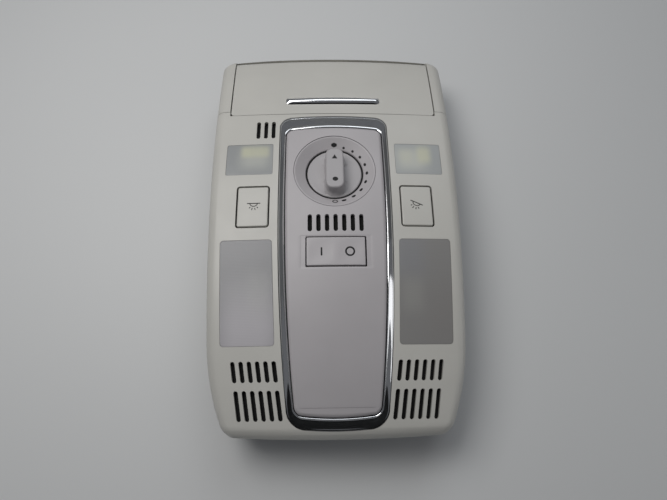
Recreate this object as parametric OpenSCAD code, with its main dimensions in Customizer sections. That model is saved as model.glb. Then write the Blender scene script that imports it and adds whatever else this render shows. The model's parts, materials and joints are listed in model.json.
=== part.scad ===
// Dome light and roof console of a car, lying on its back with the show face up (+Z).
// +Y points to the stowage flap and X runs across. The origin is the middle of the back.

/* [Trim] */
// Length over the trim
trim_len = 267.2; // [262:0.2:321]
// Width over the trim at the flap end
trim_w = 161; // [158:0.5:194]
// Distance by which each side tapers in towards the near end
side_taper = 5.1; // [0:0.1:7]
// Further distance by which each side sweeps in at the near corners
corner_sweep = 10.8; // [4:0.1:13]
// Length of that sweep
sweep_len = 46; // [36:1:60]
// How far the middle of each end stands out past its corners
end_bow = 2.2; // [0:0.1:4]
// Wall thickness of the moulded trim
wall = 2.5; // [1.8:0.1:3]
// Radius of the rolled rim
rim_r = 7; // [5:0.5:8]
// Radius of the trim's corners
corner_r = 9; // [7:0.5:12]
// Height of the rim's lower edge, which meets the headliner
rim_z = 28; // [24:0.5:29]

/* [Crown] */
// Height of the crest of the show face
face_h = 59.6; // [59:0.1:64]
// Place of the crest along the length
crest_y = -8.3; // [-20:0.1:5]
// How far the show face falls from the crest to the flap end
far_fall = 21; // [16:0.5:23]
// Crown radius across the show face
face_cross_r = 900; // [700:10:1500]
// Height of the crest of the centre panel
panel_h = 66.1; // [65:0.1:68]
// How far the centre panel falls from the crest to its near end
panel_fall = 17.7; // [14:0.1:18.5]
// Crown radius across the centre panel
panel_cross_r = 350; // [250:10:600]

/* [Centre panel and its surround] */
// Half width of the panel where it is widest
panel_half_w = 31; // [28:0.5:32]
// Distance by which each side of the panel tapers in towards the near end
panel_taper = 4.9; // [0:0.1:6]
// Width of the surround beside the panel
surround_w = 4.8; // [4.4:0.1:6]
// Width of the surround at the flap end
surround_far = 12.1; // [8:0.1:14]
// Width of the surround at the near end
surround_near = 7.1; // [6:0.1:9]
// Space between the surround and the near end of the trim
surround_margin = 5.2; // [5:0.1:8]
// Space between the surround and the flap
flap_margin = 2.8; // [2.4:0.1:6]
// Skin thickness of the panel
panel_skin = 2.2; // [1.6:0.1:2.6]
// Radius of the panel's rolled edge
panel_edge_r = 2.2; // [1:0.1:2.6]

/* [Roof switch] */
// Radius of the dished dial
dial_r = 25.8; // [24:0.1:27]
// Distance of the dial's axis from the panel's flap end
dial_from_far = 33.5; // [31:0.1:36]
// Tilt of the dial's axis towards the flap, in degrees
dial_tilt = 5.6; // [4:0.1:7]
// Depth of the dish
dish_depth = 5; // [4:0.1:6]
// Radius of the knob's disc
knob_r = 17.8; // [16:0.1:18.4]
// Width of the knob's grip
grip_w = 12; // [8:0.5:14]
// Height of the grip over the disc
grip_h = 9; // [7:0.1:9.2]
// Height of the grip over the panel
grip_stand = 3.6; // [2.5:0.1:4]
// Travel of the knob when it is pushed
knob_travel = 1.5; // [0.5:0.1:2]
// Radius of the knob's shaft
shaft_r = 3; // [2:0.1:3.5]

/* [Rocker switch] */
// Length of the rocker across the panel
rocker_l = 35.4; // [30:0.1:38]
// Width of the rocker along the panel
rocker_w = 17.6; // [14:0.1:20]
// Distance of the rocker's middle from the panel's flap end
rocker_from_far = 88; // [86:0.1:96]
// Radius of the rocker's pin
rocker_pin_r = 1.2; // [0.8:0.1:1.4]

/* [Lamps and buttons] */
// Length of a light button along the trim
button_l = 27.1; // [22:0.1:28]
// Width of a light button
button_w = 19.6; // [16:0.1:20]
// Distance of the buttons from the middle
button_x = 51.5; // [50:0.1:53]
// Distance of the buttons' middle from the flap
button_from_flap = 70.8; // [69:0.1:73]
// Travel of a light button
button_travel = 1.5; // [0.5:0.1:2]
// Radius of a button's stem
stem_r = 3; // [2:0.1:3.5]
// Width of a reading lamp's lens
reading_w = 30.1; // [24:0.1:31]
// Length of a reading lamp's lens
reading_l = 22.8; // [18:0.1:24]
// Distance of the reading lamps from the middle
reading_x = 54.9; // [54:0.1:56]
// Distance of the reading lamps' middle from the flap
reading_from_flap = 36.7; // [35:0.1:38]
// Width of a courtesy lamp's lens
courtesy_w = 31.7; // [26:0.1:32]
// Length of a courtesy lamp's lens
courtesy_l = 63.5; // [52:0.1:64]
// Distance of a courtesy lens's middle from the trim's near end
courtesy_from_near = 84.3; // [84:0.1:88]
// Distance of the courtesy lamps from the middle, at their flap end
courtesy_x = 54.9; // [54:0.1:56]
// Distance by which a courtesy lens leans in towards its near end
courtesy_lean = 2.3; // [0:0.1:3]
// Thickness of a lens
lens_t = 2.2; // [1.6:0.1:2.4]

/* [Grilles] */
// Width of a slot
slot_w = 2.6; // [1.5:0.1:3]
// Slots in each row of a lower grille
grille_slots = 6; // [3:1:6]
// Pitch of the lower grilles' slots
grille_pitch = 4.8; // [3.6:0.1:4.8]
// Slots of the panel's vent
vent_slots = 7; // [3:1:9]
// Pitch of the vent's slots
vent_pitch = 5.2; // [3.6:0.1:5.6]

/* [Stowage flap and bin] */
// Length of the flap
flap_l = 58.1; // [56:0.1:62]
// Half width of the flap
flap_half_w = 69.9; // [69:0.1:71]
// Radius over which the flap rolls down at its hinge
flap_roll_r = 7; // [6.6:0.1:7.4]
// Distance from the flap's hinged edge to the trim's flap end
flap_setback = 2.4; // [2.2:0.1:3]
// Half length of the finger strip
strip_half_l = 32.3; // [24:0.1:40]
// Width of the finger strip
strip_w = 6.5; // [4:0.1:8]
// Radius of the hinge rod
hinge_rod_r = 1.25; // [1:0.05:1.4]
// Reach of the bin's curved lip from the hinge
bin_reach = 50.6; // [48:0.1:50.8]
// Wall thickness of the bin
bin_wall = 1.8; // [1.2:0.1:2.4]

/* [Housing] */
// Half width of the lamp housing's tub
tub_half_w = 41; // [39:0.5:42]
// Half width of the stowage bin's tub
bin_tub_half_w = 69; // [68.6:0.1:69.4]
// Wall thickness of the housing
tub_wall = 2.5; // [2:0.1:3]
// Radius of the four mounting holes
mount_hole_r = 2.2; // [1.8:0.1:2.6]
// Distance between the mounting holes, across
mount_span_x = 124; // [120:1:126]
// Distance between the mounting holes, along
mount_span_y = 120; // [110:1:124]
// Radius of the trim's screws
screw_r = 1.5; // [1:0.1:1.8]

/* [Hidden] */

// Colours of the plastics and metals
TRIM = [0.86, 0.85, 0.80];
PANEL = [0.72, 0.69, 0.69];
LENS = [0.62, 0.62, 0.62];
CHROME = [0.75, 0.76, 0.78];
BLACK = [0.04, 0.04, 0.04];
HOUSING = [0.16, 0.16, 0.17];
BOARD = [0.05, 0.30, 0.16];
STEEL = [0.55, 0.56, 0.58];
REFLECTOR = [0.90, 0.90, 0.88];
GLASS = [0.92, 0.90, 0.80];

// Clearances: seat is between fixed pieces, gap is a visible joint line, fit is a running fit
seat = 0.3;
gap = 0.4;
fit = 0.05;
round_fn = 48;
big = 400;

half_len = trim_len / 2;
flap_y = half_len - flap_l;
seam_y = flap_y + 3.1;
crown_r = pow(half_len - crest_y, 2) / (2 * far_fall);
surround_far_y = flap_y - flap_margin;
surround_near_y = -half_len + surround_margin;
panel_far_y = surround_far_y - surround_far;
panel_near_y = surround_near_y + surround_near;
panel_r = pow(crest_y - panel_near_y, 2) / (2 * panel_fall);

// Height lost at distance d from the crest of a crown of radius r
function fall(d, r) = d * d / (2 * r);

// Surfaces of the show face and of the centre panel
function face_z(x, y) = face_h - fall(y - crest_y, crown_r) - fall(x, face_cross_r);
function panel_z(x, y) = panel_h - fall(y - crest_y, panel_r) - fall(x, panel_cross_r);

// Half width of the trim and of the panel at a place along the length
function trim_half_w(y) = trim_w / 2
    - side_taper * pow(max(0, flap_y - y) / (flap_y + half_len), 2)
    - corner_sweep * pow(max(0, 1 - (y + half_len) / sweep_len), 2);
function panel_half(y) = panel_half_w
    - panel_taper * pow(max(0, panel_far_y - y - 40) / (panel_far_y - panel_near_y - 40), 2);

// Distance by which a round corner of radius r draws a side in, d from the end
function setback(d, r) = d >= r ? 0 : r - sqrt(max(0, r * r - (r - d) * (r - d)));

// Drop of a rolled edge at ds from the side and de from the end, with their radii
function edge_drop(ds, rs, de, re) =
    let (a = rs > 0 ? max(0, 1 - ds / rs) : 0, b = re > 0 ? max(0, 1 - de / re) : 0)
    a + b == 0 ? 0 :
    (rs * a * a + re * b * b) / (a * a + b * b) * (1 - sqrt(max(0, 1 - a * a - b * b)));

// Closed solid between a grid of upper points and a grid of lower points.
// Rows run along +Y and columns along +X.
module grid_solid(top, bottom) {
    rows = len(top);
    cols = len(top[0]);
    n = rows * cols;
    points = concat([for (row = top) each row], [for (row = bottom) each row]);
    function at(i, j) = i * cols + j;
    faces = concat(
        [for (i = [0 : rows - 2], j = [0 : cols - 2])
            each [[at(i, j), at(i + 1, j), at(i + 1, j + 1)],
                  [at(i, j), at(i + 1, j + 1), at(i, j + 1)],
                  [n + at(i, j), n + at(i + 1, j + 1), n + at(i + 1, j)],
                  [n + at(i, j), n + at(i, j + 1), n + at(i + 1, j + 1)]]],
        [for (j = [0 : cols - 2], i = [0, rows - 1])
            let (a = i == 0 ? j : j + 1, b = i == 0 ? j + 1 : j)
            each [[n + at(i, a), at(i, a), at(i, b)], [n + at(i, a), at(i, b), n + at(i, b)]]],
        [for (i = [0 : rows - 2], j = [0, cols - 1])
            let (a = j == 0 ? i + 1 : i, b = j == 0 ? i : i + 1)
            each [[n + at(a, j), at(a, j), at(b, j)], [n + at(a, j), at(b, j), n + at(b, j)]]]);
    polyhedron(points, faces, convexity = 8);
}

// Places of the rows or columns over a rolled edge, as shares of its radius
roll_steps = [for (a = [0, 22, 42, 64]) 1 - cos(a)];

// Row places from y0 to y1, crowded over the rolled ends and at least one corner deep
function row_places(y0, y1, r0, r1, inner) = concat(
    [for (s = roll_steps) y0 + s * r0],
    [for (k = [0 : inner]) y0 + r0 + (y1 - r1 - y0 - r0) * k / inner],
    [for (k = [len(roll_steps) - 1 : -1 : 0]) y1 - roll_steps[k] * r1]);

// Columns as pairs: share of the half width, and distance in from the side
function column_places(r, inner) = concat(
    [for (s = roll_steps) [-1, s * r]],
    [for (k = [0 : inner]) let (s = 2 * k / inner - 1) [s, abs(s) * r]],
    [for (k = [len(roll_steps) - 1 : -1 : 0]) [1, roll_steps[k] * r]]);

// Place along the length after the ends are bowed outwards
function bowed(x, y, y0, y1, half, bow0, bow1) =
    let (mid = (y0 + y1) / 2,
         near = pow(max(0, (mid - y) / (mid - y0)), 4),
         far = pow(max(0, (y - mid) / (y1 - mid)), 4),
         k = pow(x / half, 2))
    y + bow0 * k * near - bow1 * k * far;

// A crowned block: length y0 to y1, half width and upper surface given by functions, side and
// end edges rolled over, corners rounded, and a lower surface given by a function
module crowned_block(y0, y1, half, top_z, low_z, side_r, near_r, far_r, corner0, corner1,
                     bow0, bow1, rows, cols) {
    ends0 = max(near_r, corner0);
    ends1 = max(far_r, corner1);
    grid = [for (y = row_places(y0, y1, ends0, ends1, rows))
        let (w = half(y) - setback(y - y0, corner0) - setback(y1 - y, corner1))
        [for (c = column_places(max(side_r, 0.5), cols))
            let (x = c[0] * w - sign(c[0]) * c[1],
                 yb = bowed(x, y, y0, y1, half(y), bow0, bow1),
                 near_end = y - y0 < y1 - y,
                 drop = edge_drop(w - abs(x), side_r, near_end ? y - y0 : y1 - y,
                                  near_end ? near_r : far_r))
            [x, yb, top_z(x, yb) - drop]]];
    low = [for (row = grid) [for (p = row) [p[0], p[1], low_z(p[0], p[1])]]];
    grid_solid(grid, low);
}

// A slab that follows a surface, over a rectangle, between two offsets from it
module slab(surface_z, x0, x1, y0, y1, top, bottom, nx = 4, ny = 4) {
    function layer(dz) = [for (i = [0 : ny]) let (y = y0 + (y1 - y0) * i / ny)
        [for (j = [0 : nx]) let (x = x0 + (x1 - x0) * j / nx) [x, y, surface_z(x, y) + dz]]];
    grid_solid(layer(top), layer(bottom));
}

// The trim as a solid, drawn in on all sides by d
module trim_form(d, low) {
    crowned_block(-half_len + d, half_len - d, function (y) trim_half_w(y) - d,
        function (x, y) face_z(x, y) - d, function (x, y) low,
        rim_r - d, rim_r - d, rim_r - d, corner_r - d / 2, corner_r - d / 2,
        end_bow, end_bow, 12, 6);
}

// Polygon with its corners rounded to radius r
function unit(v) = v / norm(v);
function round_corner(a, b, c, r, n) =
    let (u = unit(a - b), v = unit(c - b), half = acos(u * v) / 2,
         centre = b + unit(u + v) * r / sin(half),
         s = b + u * r / tan(half) - centre, e = b + v * r / tan(half) - centre,
         a0 = atan2(s[1], s[0]), turn = atan2(e[1], e[0]) - a0,
         sweep = turn > 180 ? turn - 360 : turn < -180 ? turn + 360 : turn)
    [for (k = [0 : n]) centre + r * [cos(a0 + sweep * k / n), sin(a0 + sweep * k / n)]];
function round_poly(p, r, n = 5) =
    [for (i = [0 : len(p) - 1])
        each round_corner(p[(i + len(p) - 1) % len(p)], p[i], p[(i + 1) % len(p)], r, n)];

// Rectangle about a centre, with rounded corners
function rounded_box(cx, cy, w, l, r) = round_poly(
    [[cx - w / 2, cy - l / 2], [cx + w / 2, cy - l / 2],
     [cx + w / 2, cy + l / 2], [cx - w / 2, cy + l / 2]], r);

// Right-hand half of the loop round the panel, at a distance outside it, near end first
function half_loop(y0, y1, extra, r0, r1) =
    let (w0 = panel_half(y0 + r0) + extra, w1 = panel_half(y1 - r1) + extra, sides = 12)
    concat(
        [for (s = [0.25, 0.6]) [s * (w0 - r0), y0]],
        [for (a = [-90 : 22.5 : 0]) [w0 - r0 + r0 * cos(a), y0 + r0 + r0 * sin(a)]],
        [for (k = [1 : sides - 1]) let (y = y0 + r0 + (y1 - r1 - y0 - r0) * k / sides)
            [panel_half(y) + extra, y]],
        [for (a = [0 : 22.5 : 90]) [w1 - r1 + r1 * cos(a), y1 - r1 + r1 * sin(a)]],
        [for (s = [0.6, 0.25]) [s * (w1 - r1), y1]]);
panel_bow = 1.9;
function loop(y0, y1, extra, r0, r1) =
    let (h = half_loop(y0, y1, extra, r0, r1),
         m = [for (k = [len(h) - 1 : -1 : 0]) [-h[k][0], h[k][1]]])
    [for (p = concat([[0, y0]], h, [[0, y1]], m))
        [p[0], bowed(p[0], p[1], y0, y1, panel_half(p[1]) + extra, panel_bow, panel_bow)]];
surround_near_r = 8;
surround_far_r = 7.5;
panel_near_r = 5;
panel_far_r = 4;
function outer_loop(d) = loop(surround_near_y - d, surround_far_y + d, surround_w + d,
                              surround_near_r + d, surround_far_r + d);
function inner_loop(d) = loop(panel_near_y - d, panel_far_y + d, d,
                              panel_near_r + d, panel_far_r + d);

// Upright prism over a flat outline
module prism(points, z0 = -1, z1 = 80) translate([0, 0, z0]) linear_extrude(z1 - z0) polygon(points);
module cut_below(z) translate([-big / 2, -big / 2, z - big]) cube(big);
module post(x, y, z0, z1, r) translate([x, y, z0]) cylinder(h = z1 - z0, r = r, $fn = round_fn);

// Slot with round ends between two points
module slot(a, b, w) {
    v = b - a;
    translate(a) rotate(atan2(v[1], v[0])) {
        translate([w / 2, -w / 2]) square([norm(v) - w, w]);
        for (x = [w / 2, norm(v) - w / 2]) translate([x, 0]) circle(d = w, $fn = 24);
    }
}

// Both halves of what is symmetric about the middle
module mirrored() {
    children();
    mirror([1, 0, 0]) children();
}

// Places of the lamps, buttons and grilles, for the right-hand side
reading_y = flap_y - reading_from_flap;
button_y = flap_y - button_from_flap;
courtesy_y = -half_len + courtesy_from_near;
mic_y = flap_y - 13.6;
function reading_outline(d) =
    rounded_box(reading_x, reading_y, reading_w + 2 * d, reading_l + 2 * d, 1.6 + d);
function button_outline(d) =
    rounded_box(button_x, button_y, button_w + 2 * d, button_l + 2 * d, 1.4 + d);
function courtesy_outline(d) =
    let (w = courtesy_w / 2 + d, l = courtesy_l / 2 + d)
    round_poly([[courtesy_x - courtesy_lean - w, courtesy_y - l],
                [courtesy_x - courtesy_lean + w, courtesy_y - l],
                [courtesy_x + w, courtesy_y + l], [courtesy_x - w, courtesy_y + l]], 2 + d);

// Lower grille: two rows of slots, which lean in towards the near end
grille_rows = [[-half_len + 44, -half_len + 32.1, 0], [-half_len + 27.7, -half_len + 10.8, 1.8]];
grille_lean = 0.13;
grille_x = 36.6;
function grille_slot_x(k, y) =
    grille_x + slot_w / 2 + grille_pitch * k - grille_lean * (grille_rows[0][0] - y);
module grille_slots() {
    for (row = grille_rows, k = [0 : grille_slots - 1])
        slot([grille_slot_x(k, row[0]), row[0]], [grille_slot_x(k, row[1]), row[1]], slot_w);
}
grille_mid_y = (grille_rows[0][0] + grille_rows[1][1]) / 2;
grille_mid_x = grille_x + grille_pitch * grille_slots / 2 - grille_lean * 17;
mic_x = -45;
mic_slot_l = 13.8;
module mic_slots() {
    for (k = [-1 : 1])
        slot([mic_x + 5 * k, mic_y - mic_slot_l / 2], [mic_x + 5 * k, mic_y + mic_slot_l / 2], slot_w);
}

// Screw places on the right-hand side of the trim, and of the panel's posts
bezel_screws_at = [for (q = [[8, flap_y - 8], [8, flap_y - 80], [9, -half_len + 24]])
    [trim_half_w(q[1]) - q[0], q[1]]];
frame_screw_at = [trim_w / 2 - 5, half_len - 26];
board_z = 33;
board_t = 1.6;
panel_posts_at = [[26, panel_far_y - 6], [24, panel_near_y + 52], [19, panel_near_y + 14]];
post_r = 3;
boss_r = 3.6;

// Flat outline of the opening that takes the flap, and the region beyond the seam
module flap_opening() {
    translate([-flap_half_w - gap, flap_y - gap]) square([2 * (flap_half_w + gap), big]);
}
module beyond_seam(d) translate([-big / 2, seam_y + d]) square([big, big]);

module bezel() color(TRIM) {
    difference() {
        trim_form(0, rim_z);
        trim_form(wall, rim_z - 6);
        translate([0, 0, -1]) linear_extrude(80) {
            beyond_seam(0);
            flap_opening();
            polygon(outer_loop(gap));
            mirrored() {
                polygon(reading_outline(gap / 2));
                polygon(button_outline(gap));
                polygon(courtesy_outline(gap / 2));
                grille_slots();
            }
            mic_slots();
        }
    }
    mirrored() for (p = bezel_screws_at) difference() {
        post(p[0], p[1], rim_z, face_z(p[0], p[1]) - wall / 2, boss_r);
        post(p[0], p[1], rim_z - 1, rim_z + 10, screw_r);
    }
}

// Outline of the front frame: two ears and the strip past the flap, drawn in by d
strip_t = 1.8;
function strip_inside(x) = half_len - strip_t - end_bow * pow(x / (trim_w / 2), 2);
module frame_outline(d) {
    w = flap_half_w + gap + 0.2 + d;
    difference() {
        translate([-big / 2, seam_y + 0.3 + d]) square([big, big]);
        polygon(concat([[-w, 0], [w, 0]],
                       [for (k = [4 : -1 : -4]) [w * k / 4, strip_inside(w * k / 4)]]));
        if (d > 0) translate([-big / 2, strip_inside(w) - 2 * d]) square([big, big]);
    }
}
module front_frame() color(TRIM) {
    difference() {
        intersection() {
            trim_form(0, rim_z);
            translate([0, 0, -1]) linear_extrude(80) frame_outline(0);
        }
        intersection() {
            trim_form(wall, rim_z - 6);
            translate([0, 0, -1]) linear_extrude(80) frame_outline(1.8);
        }
    }
    mirrored() difference() {
        post(frame_screw_at[0], frame_screw_at[1], rim_z,
             face_z(frame_screw_at[0], frame_screw_at[1]) - wall - 0.1, 3);
        post(frame_screw_at[0], frame_screw_at[1], rim_z - 1, rim_z + 8, screw_r);
    }
}

// The surround slopes from a lip under the panel's edge down to the show face
lip_drop = 1.6;
surround_skirt = 4.2;
module chrome_surround() color(CHROME) {
    inner = inner_loop(gap + 0.1);
    outer = outer_loop(0);
    n = len(inner);
    section = [[0, 0, -4.2], [0, 0, 0], [0.16, 0, 0.1], [0.3, 0.2, 0.3], [0.62, 0.62, 0.35],
               [0.88, 0.95, 0.5], [1, 1, 0.3], [1, 1, -surround_skirt],
               [0.86, 1, -surround_skirt], [0.6, 0.75, -2.2]];
    rings = [for (k = [0 : n - 1])
        let (a = inner[k], b = outer[k], za = panel_z(a[0], a[1]) - lip_drop,
             zb = face_z(b[0], b[1]) + 0.3)
        [for (s = section) let (p = a + (b - a) * s[0]) [p[0], p[1], za + (zb - za) * s[1] + s[2]]]];
    m = len(section);
    faces = [for (k = [0 : n - 1], j = [0 : m - 1])
        let (k1 = (k + 1) % n, j1 = (j + 1) % m)
        each [[k * m + j, k1 * m + j, k1 * m + j1], [k * m + j, k1 * m + j1, k * m + j1]]];
    polyhedron([for (r = rings) each r], faces, convexity = 8);
    mirrored() for (y = [panel_far_y - 30, 0, panel_near_y + 40])
        let (x = panel_half(y) + surround_w)
        translate([x - 0.6, y - 3, face_z(x, y) - wall - seat - 1.2]) cube([2.4, 6, 0.8]);
}

// The dial stands on the panel with its own tilted axis
dial_y = panel_far_y - dial_from_far;
dial_z = panel_z(0, dial_y);
module on_dial() translate([0, dial_y, dial_z]) rotate([-dial_tilt, 0, 0]) children();
dial_rim = -fall(dial_r, (panel_r + panel_cross_r) / 2);

rocker_y = panel_far_y - rocker_from_far;
rocker_z = panel_z(0, rocker_y);
vent_y = panel_far_y - 70;
vent_l = 10.9;
module vent_slots() {
    for (k = [0 : vent_slots - 1]) let (x = (k - (vent_slots - 1) / 2) * vent_pitch)
        slot([x, vent_y - vent_l / 2], [x, vent_y + vent_l / 2], slot_w);
}
panel_rim = 7;
module centre_panel() color(PANEL) {
    difference() {
        crowned_block(panel_near_y, panel_far_y, function (y) panel_half(y),
            function (x, y) panel_z(x, y), function (x, y) panel_z(x, y) - panel_rim,
            panel_edge_r, panel_edge_r, panel_edge_r, panel_near_r, panel_far_r,
            panel_bow, panel_bow, 12, 6);
        crowned_block(panel_near_y + panel_skin, panel_far_y - panel_skin,
            function (y) panel_half(y) - panel_skin,
            function (x, y) panel_z(x, y) - panel_skin,
            function (x, y) panel_z(x, y) - panel_rim - 2,
            0, 0, 0, panel_near_r - 1, panel_far_r - 1, panel_bow, panel_bow, 12, 4);
        on_dial() translate([0, 0, -20]) cylinder(h = 40, r = dial_r + gap / 2, $fn = 96);
        translate([0, 0, rocker_z - 20]) linear_extrude(40) {
            translate([-rocker_l / 2 - gap, rocker_y - rocker_w / 2 - gap])
                square([rocker_l + 2 * gap, rocker_w + 2 * gap]);
            vent_slots();
        }
    }
    mirrored() for (p = panel_posts_at) difference() {
        post(p[0], p[1], board_z + board_t, panel_z(p[0], p[1]) - panel_skin / 2, post_r);
        post(p[0], p[1], board_z, board_z + 12, screw_r);
    }
}

// The grip's top sets the height of the whole console
disc_top = grip_stand - grip_h;
disc_t = 2.2;

// The dish's cone runs from its rim down to the gap round the knob's disc
dish_floor_t = 1.5;
dish_floor = disc_top - disc_t - knob_travel - 0.5 - dish_floor_t;
knob_hole_r = knob_r + 0.7;
module dial_dish() color(PANEL) on_dial() rotate_extrude($fn = 96) {
    polygon([[9, dish_floor], [knob_hole_r + 1.5, dish_floor], [dial_r, dial_rim - 2.4],
             [dial_r, dial_rim], [dial_r - 0.6, dial_rim], [knob_hole_r + 0.4, -dish_depth],
             [knob_hole_r, -dish_depth - 0.5], [knob_hole_r, dish_floor + dish_floor_t],
             [9, dish_floor + dish_floor_t]]);
}

grip_l = 29;
module grip_end(z, dr) translate([0, 0, z]) cylinder(h = 0.01, r = grip_w / 2 - dr, $fn = 32);
module roof_knob() color(PANEL) on_dial() difference() {
    union() {
        rotate_extrude($fn = 96)
            polygon([[0, disc_top - disc_t], [knob_r, disc_top - disc_t],
                     [knob_r, disc_top - 0.5], [knob_r - 0.5, disc_top], [0, disc_top + 0.6]]);
        hull() for (y = [-1, 1]) translate([0, y * (grip_l - grip_w) / 2, 0]) {
            grip_end(disc_top - 0.5, -0.4);
            grip_end(disc_top + grip_h - 1.2, 0.3);
            grip_end(disc_top + grip_h, 1.4);
        }
        translate([0, 0, disc_top - disc_t - 2])
            cylinder(h = 4, r = shaft_r + 1.6, $fn = round_fn);
    }
    translate([0, 0, disc_top - disc_t - 3]) cylinder(h = 7, r = shaft_r, $fn = round_fn);
}
shaft_low = -26;
plunger_r = 6;
plunger_low = -24;
plunger_top = disc_top - disc_t - 2.4;
module knob_shaft() color(STEEL) on_dial() translate([0, 0, shaft_low])
    cylinder(h = disc_top - disc_t - 3 + 6.9 - shaft_low, r = shaft_r, $fn = round_fn);
module switch_plunger() color(BLACK) on_dial() difference() {
    translate([0, 0, plunger_low])
        cylinder(h = plunger_top - plunger_low, r = plunger_r, $fn = round_fn);
    translate([0, 0, plunger_low - 1])
        cylinder(h = plunger_top - plunger_low + 2, r = shaft_r + fit, $fn = round_fn);
}
switch_top = dish_floor - seat;
switch_r = 15;
switch_deep = 34;
switch_foot = [26, 34, 16];
module rotary_switch() color(BLACK) difference() {
    on_dial() difference() {
        union() {
            translate([0, 0, -switch_deep])
                cylinder(h = switch_top + switch_deep, r = switch_r, $fn = round_fn);
            translate([-switch_foot[0] / 2, -switch_foot[1] / 2, -switch_deep]) cube(switch_foot);
        }
        translate([0, 0, shaft_low - knob_travel - 1])
            cylinder(h = 40, r = plunger_r + fit, $fn = round_fn);
    }
    cut_below(board_z + board_t);
}

// The rocker turns on a pin along Y just under its face
rocker_pin_z = rocker_z - 4.4;
rocker_depth = 6.5;
rocker_fall = 0.012;
rocker_wall = 1.6;
rocker_cheek = 2;
hub_half_w = 4;
hub_slot = 4.5;
rocker_skin = 2.4;
module rocker() color(PANEL) difference() {
    intersection() {
        slab(function (x, y) panel_z(x, y) - rocker_fall * abs(x) + 0.1, -rocker_l / 2, rocker_l / 2,
             rocker_y - rocker_w / 2, rocker_y + rocker_w / 2, 0, -rocker_depth, 6, 3);
        translate([0, rocker_y, rocker_pin_z]) rotate([90, 0, 0])
            cylinder(h = rocker_w + 2, r = rocker_l / 2, center = true, $fn = 180);
    }
    for (x = [hub_half_w, -rocker_l / 2 + rocker_wall])
        translate([x, rocker_y - rocker_w / 2 + rocker_wall, rocker_z - 12])
            cube([rocker_l / 2 - rocker_wall - hub_half_w, rocker_w - 2 * rocker_wall, 12 - rocker_skin]);
    translate([-hub_slot, rocker_y - rocker_w / 2 + rocker_cheek + rocker_wall, rocker_z - 12])
        cube([2 * hub_slot, rocker_w - 2 * (rocker_wall + rocker_cheek), 12 - rocker_wall]);
    translate([0, rocker_y, rocker_pin_z]) rotate([90, 0, 0])
        cylinder(h = rocker_w - 1.2, r = rocker_pin_r + fit, center = true, $fn = round_fn);
}
module rocker_pin() color(STEEL) translate([0, rocker_y, rocker_pin_z]) rotate([90, 0, 0])
    cylinder(h = rocker_w - 2, r = rocker_pin_r, center = true, $fn = round_fn);
rocker_base_top = rocker_z - rocker_depth - 3;
module rocker_switch() color(BLACK) difference() {
    union() {
        translate([-13, rocker_y - 7.5, board_z + board_t])
            cube([26, 15, rocker_base_top - board_z - board_t]);
        translate([-2.6, rocker_y - rocker_w / 2 + 2 * rocker_cheek + 0.3, rocker_base_top - 1])
            cube([5.2, rocker_w - 4 * rocker_cheek - 0.6,
                  rocker_pin_z + 1.75 - rocker_base_top + 1]);
    }
    translate([0, rocker_y, rocker_pin_z]) rotate([90, 0, 0])
        cylinder(h = rocker_w, r = rocker_pin_r + fit, center = true, $fn = round_fn);
}

// Light button: a capped skirt with a stem that runs in its switch
button_depth = 8;
switch_h = 9;
button_switch_top = board_z + board_t + switch_h;
stem_low = button_switch_top - 4.5;
button_z = face_z(button_x, button_y);
module light_button() color(TRIM) {
    difference() {
        intersection() {
            slab(function (x, y) face_z(x, y), button_x - button_w, button_x + button_w,
                 button_y - button_l, button_y + button_l, 0.15, -button_depth);
            prism(button_outline(0));
        }
        prism(rounded_box(button_x, button_y, button_w - 3.2, button_l - 3.2, 1),
              20, button_z - 2.4);
    }
    post(button_x, button_y, stem_low, button_z - 1.2, stem_r);
}
module button_switch() color(BLACK) difference() {
    translate([button_x - 6.5, button_y - 6.5, board_z + board_t]) cube([13, 13, switch_h]);
    post(button_x, button_y, stem_low - button_travel - 0.6, button_switch_top + 1, stem_r + fit);
}

// Coil of round wire, as a tube swept along a helix about the Z axis
module coil(r, wire, turns, height, sides = 6, steps = 12) {
    n = turns * steps;
    rings = [for (k = [0 : n]) let (a = 360 * k / steps, z = wire + (height - 2 * wire) * k / n)
        [for (s = [0 : sides - 1]) let (b = 360 * s / sides, q = r + wire * cos(b))
            [q * cos(a), q * sin(a), z + wire * sin(b)]]];
    faces = concat(
        [[for (s = [0 : sides - 1]) s], [for (s = [sides - 1 : -1 : 0]) n * sides + s]],
        [for (k = [0 : n - 1], s = [0 : sides - 1]) let (s1 = (s + 1) % sides)
            each [[k * sides + s, (k + 1) * sides + s, (k + 1) * sides + s1],
                  [k * sides + s, (k + 1) * sides + s1, k * sides + s1]]]);
    polyhedron([for (r = rings) each r], faces, convexity = 8);
}
module button_spring() color(STEEL)
    translate([button_x, button_y, button_switch_top + 0.1])
        coil(4.4, 0.4, 4, button_z - 2.4 - button_switch_top - 0.2);

// A lens fills its opening and has a flange under the trim's skin
module lens(outline, x, y, w, l) color(LENS) {
    low = wall + seat + 1.2;
    intersection() {
        slab(function (x, y) face_z(x, y), x - w, x + w, y - l, y + l, -0.1, -low, 5, 6);
        prism(outline(0));
    }
    difference() {
        intersection() {
            slab(function (x, y) face_z(x, y), x - w, x + w, y - l, y + l, -wall - seat, -low, 5, 6);
            prism(outline(1.2));
        }
        prism(outline(-0.01));
    }
}
module reading_lens()
    lens(function (d) reading_outline(d), reading_x, reading_y, reading_w, reading_l);
module courtesy_lens()
    lens(function (d) courtesy_outline(d), courtesy_x, courtesy_y, courtesy_w, courtesy_l);

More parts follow.
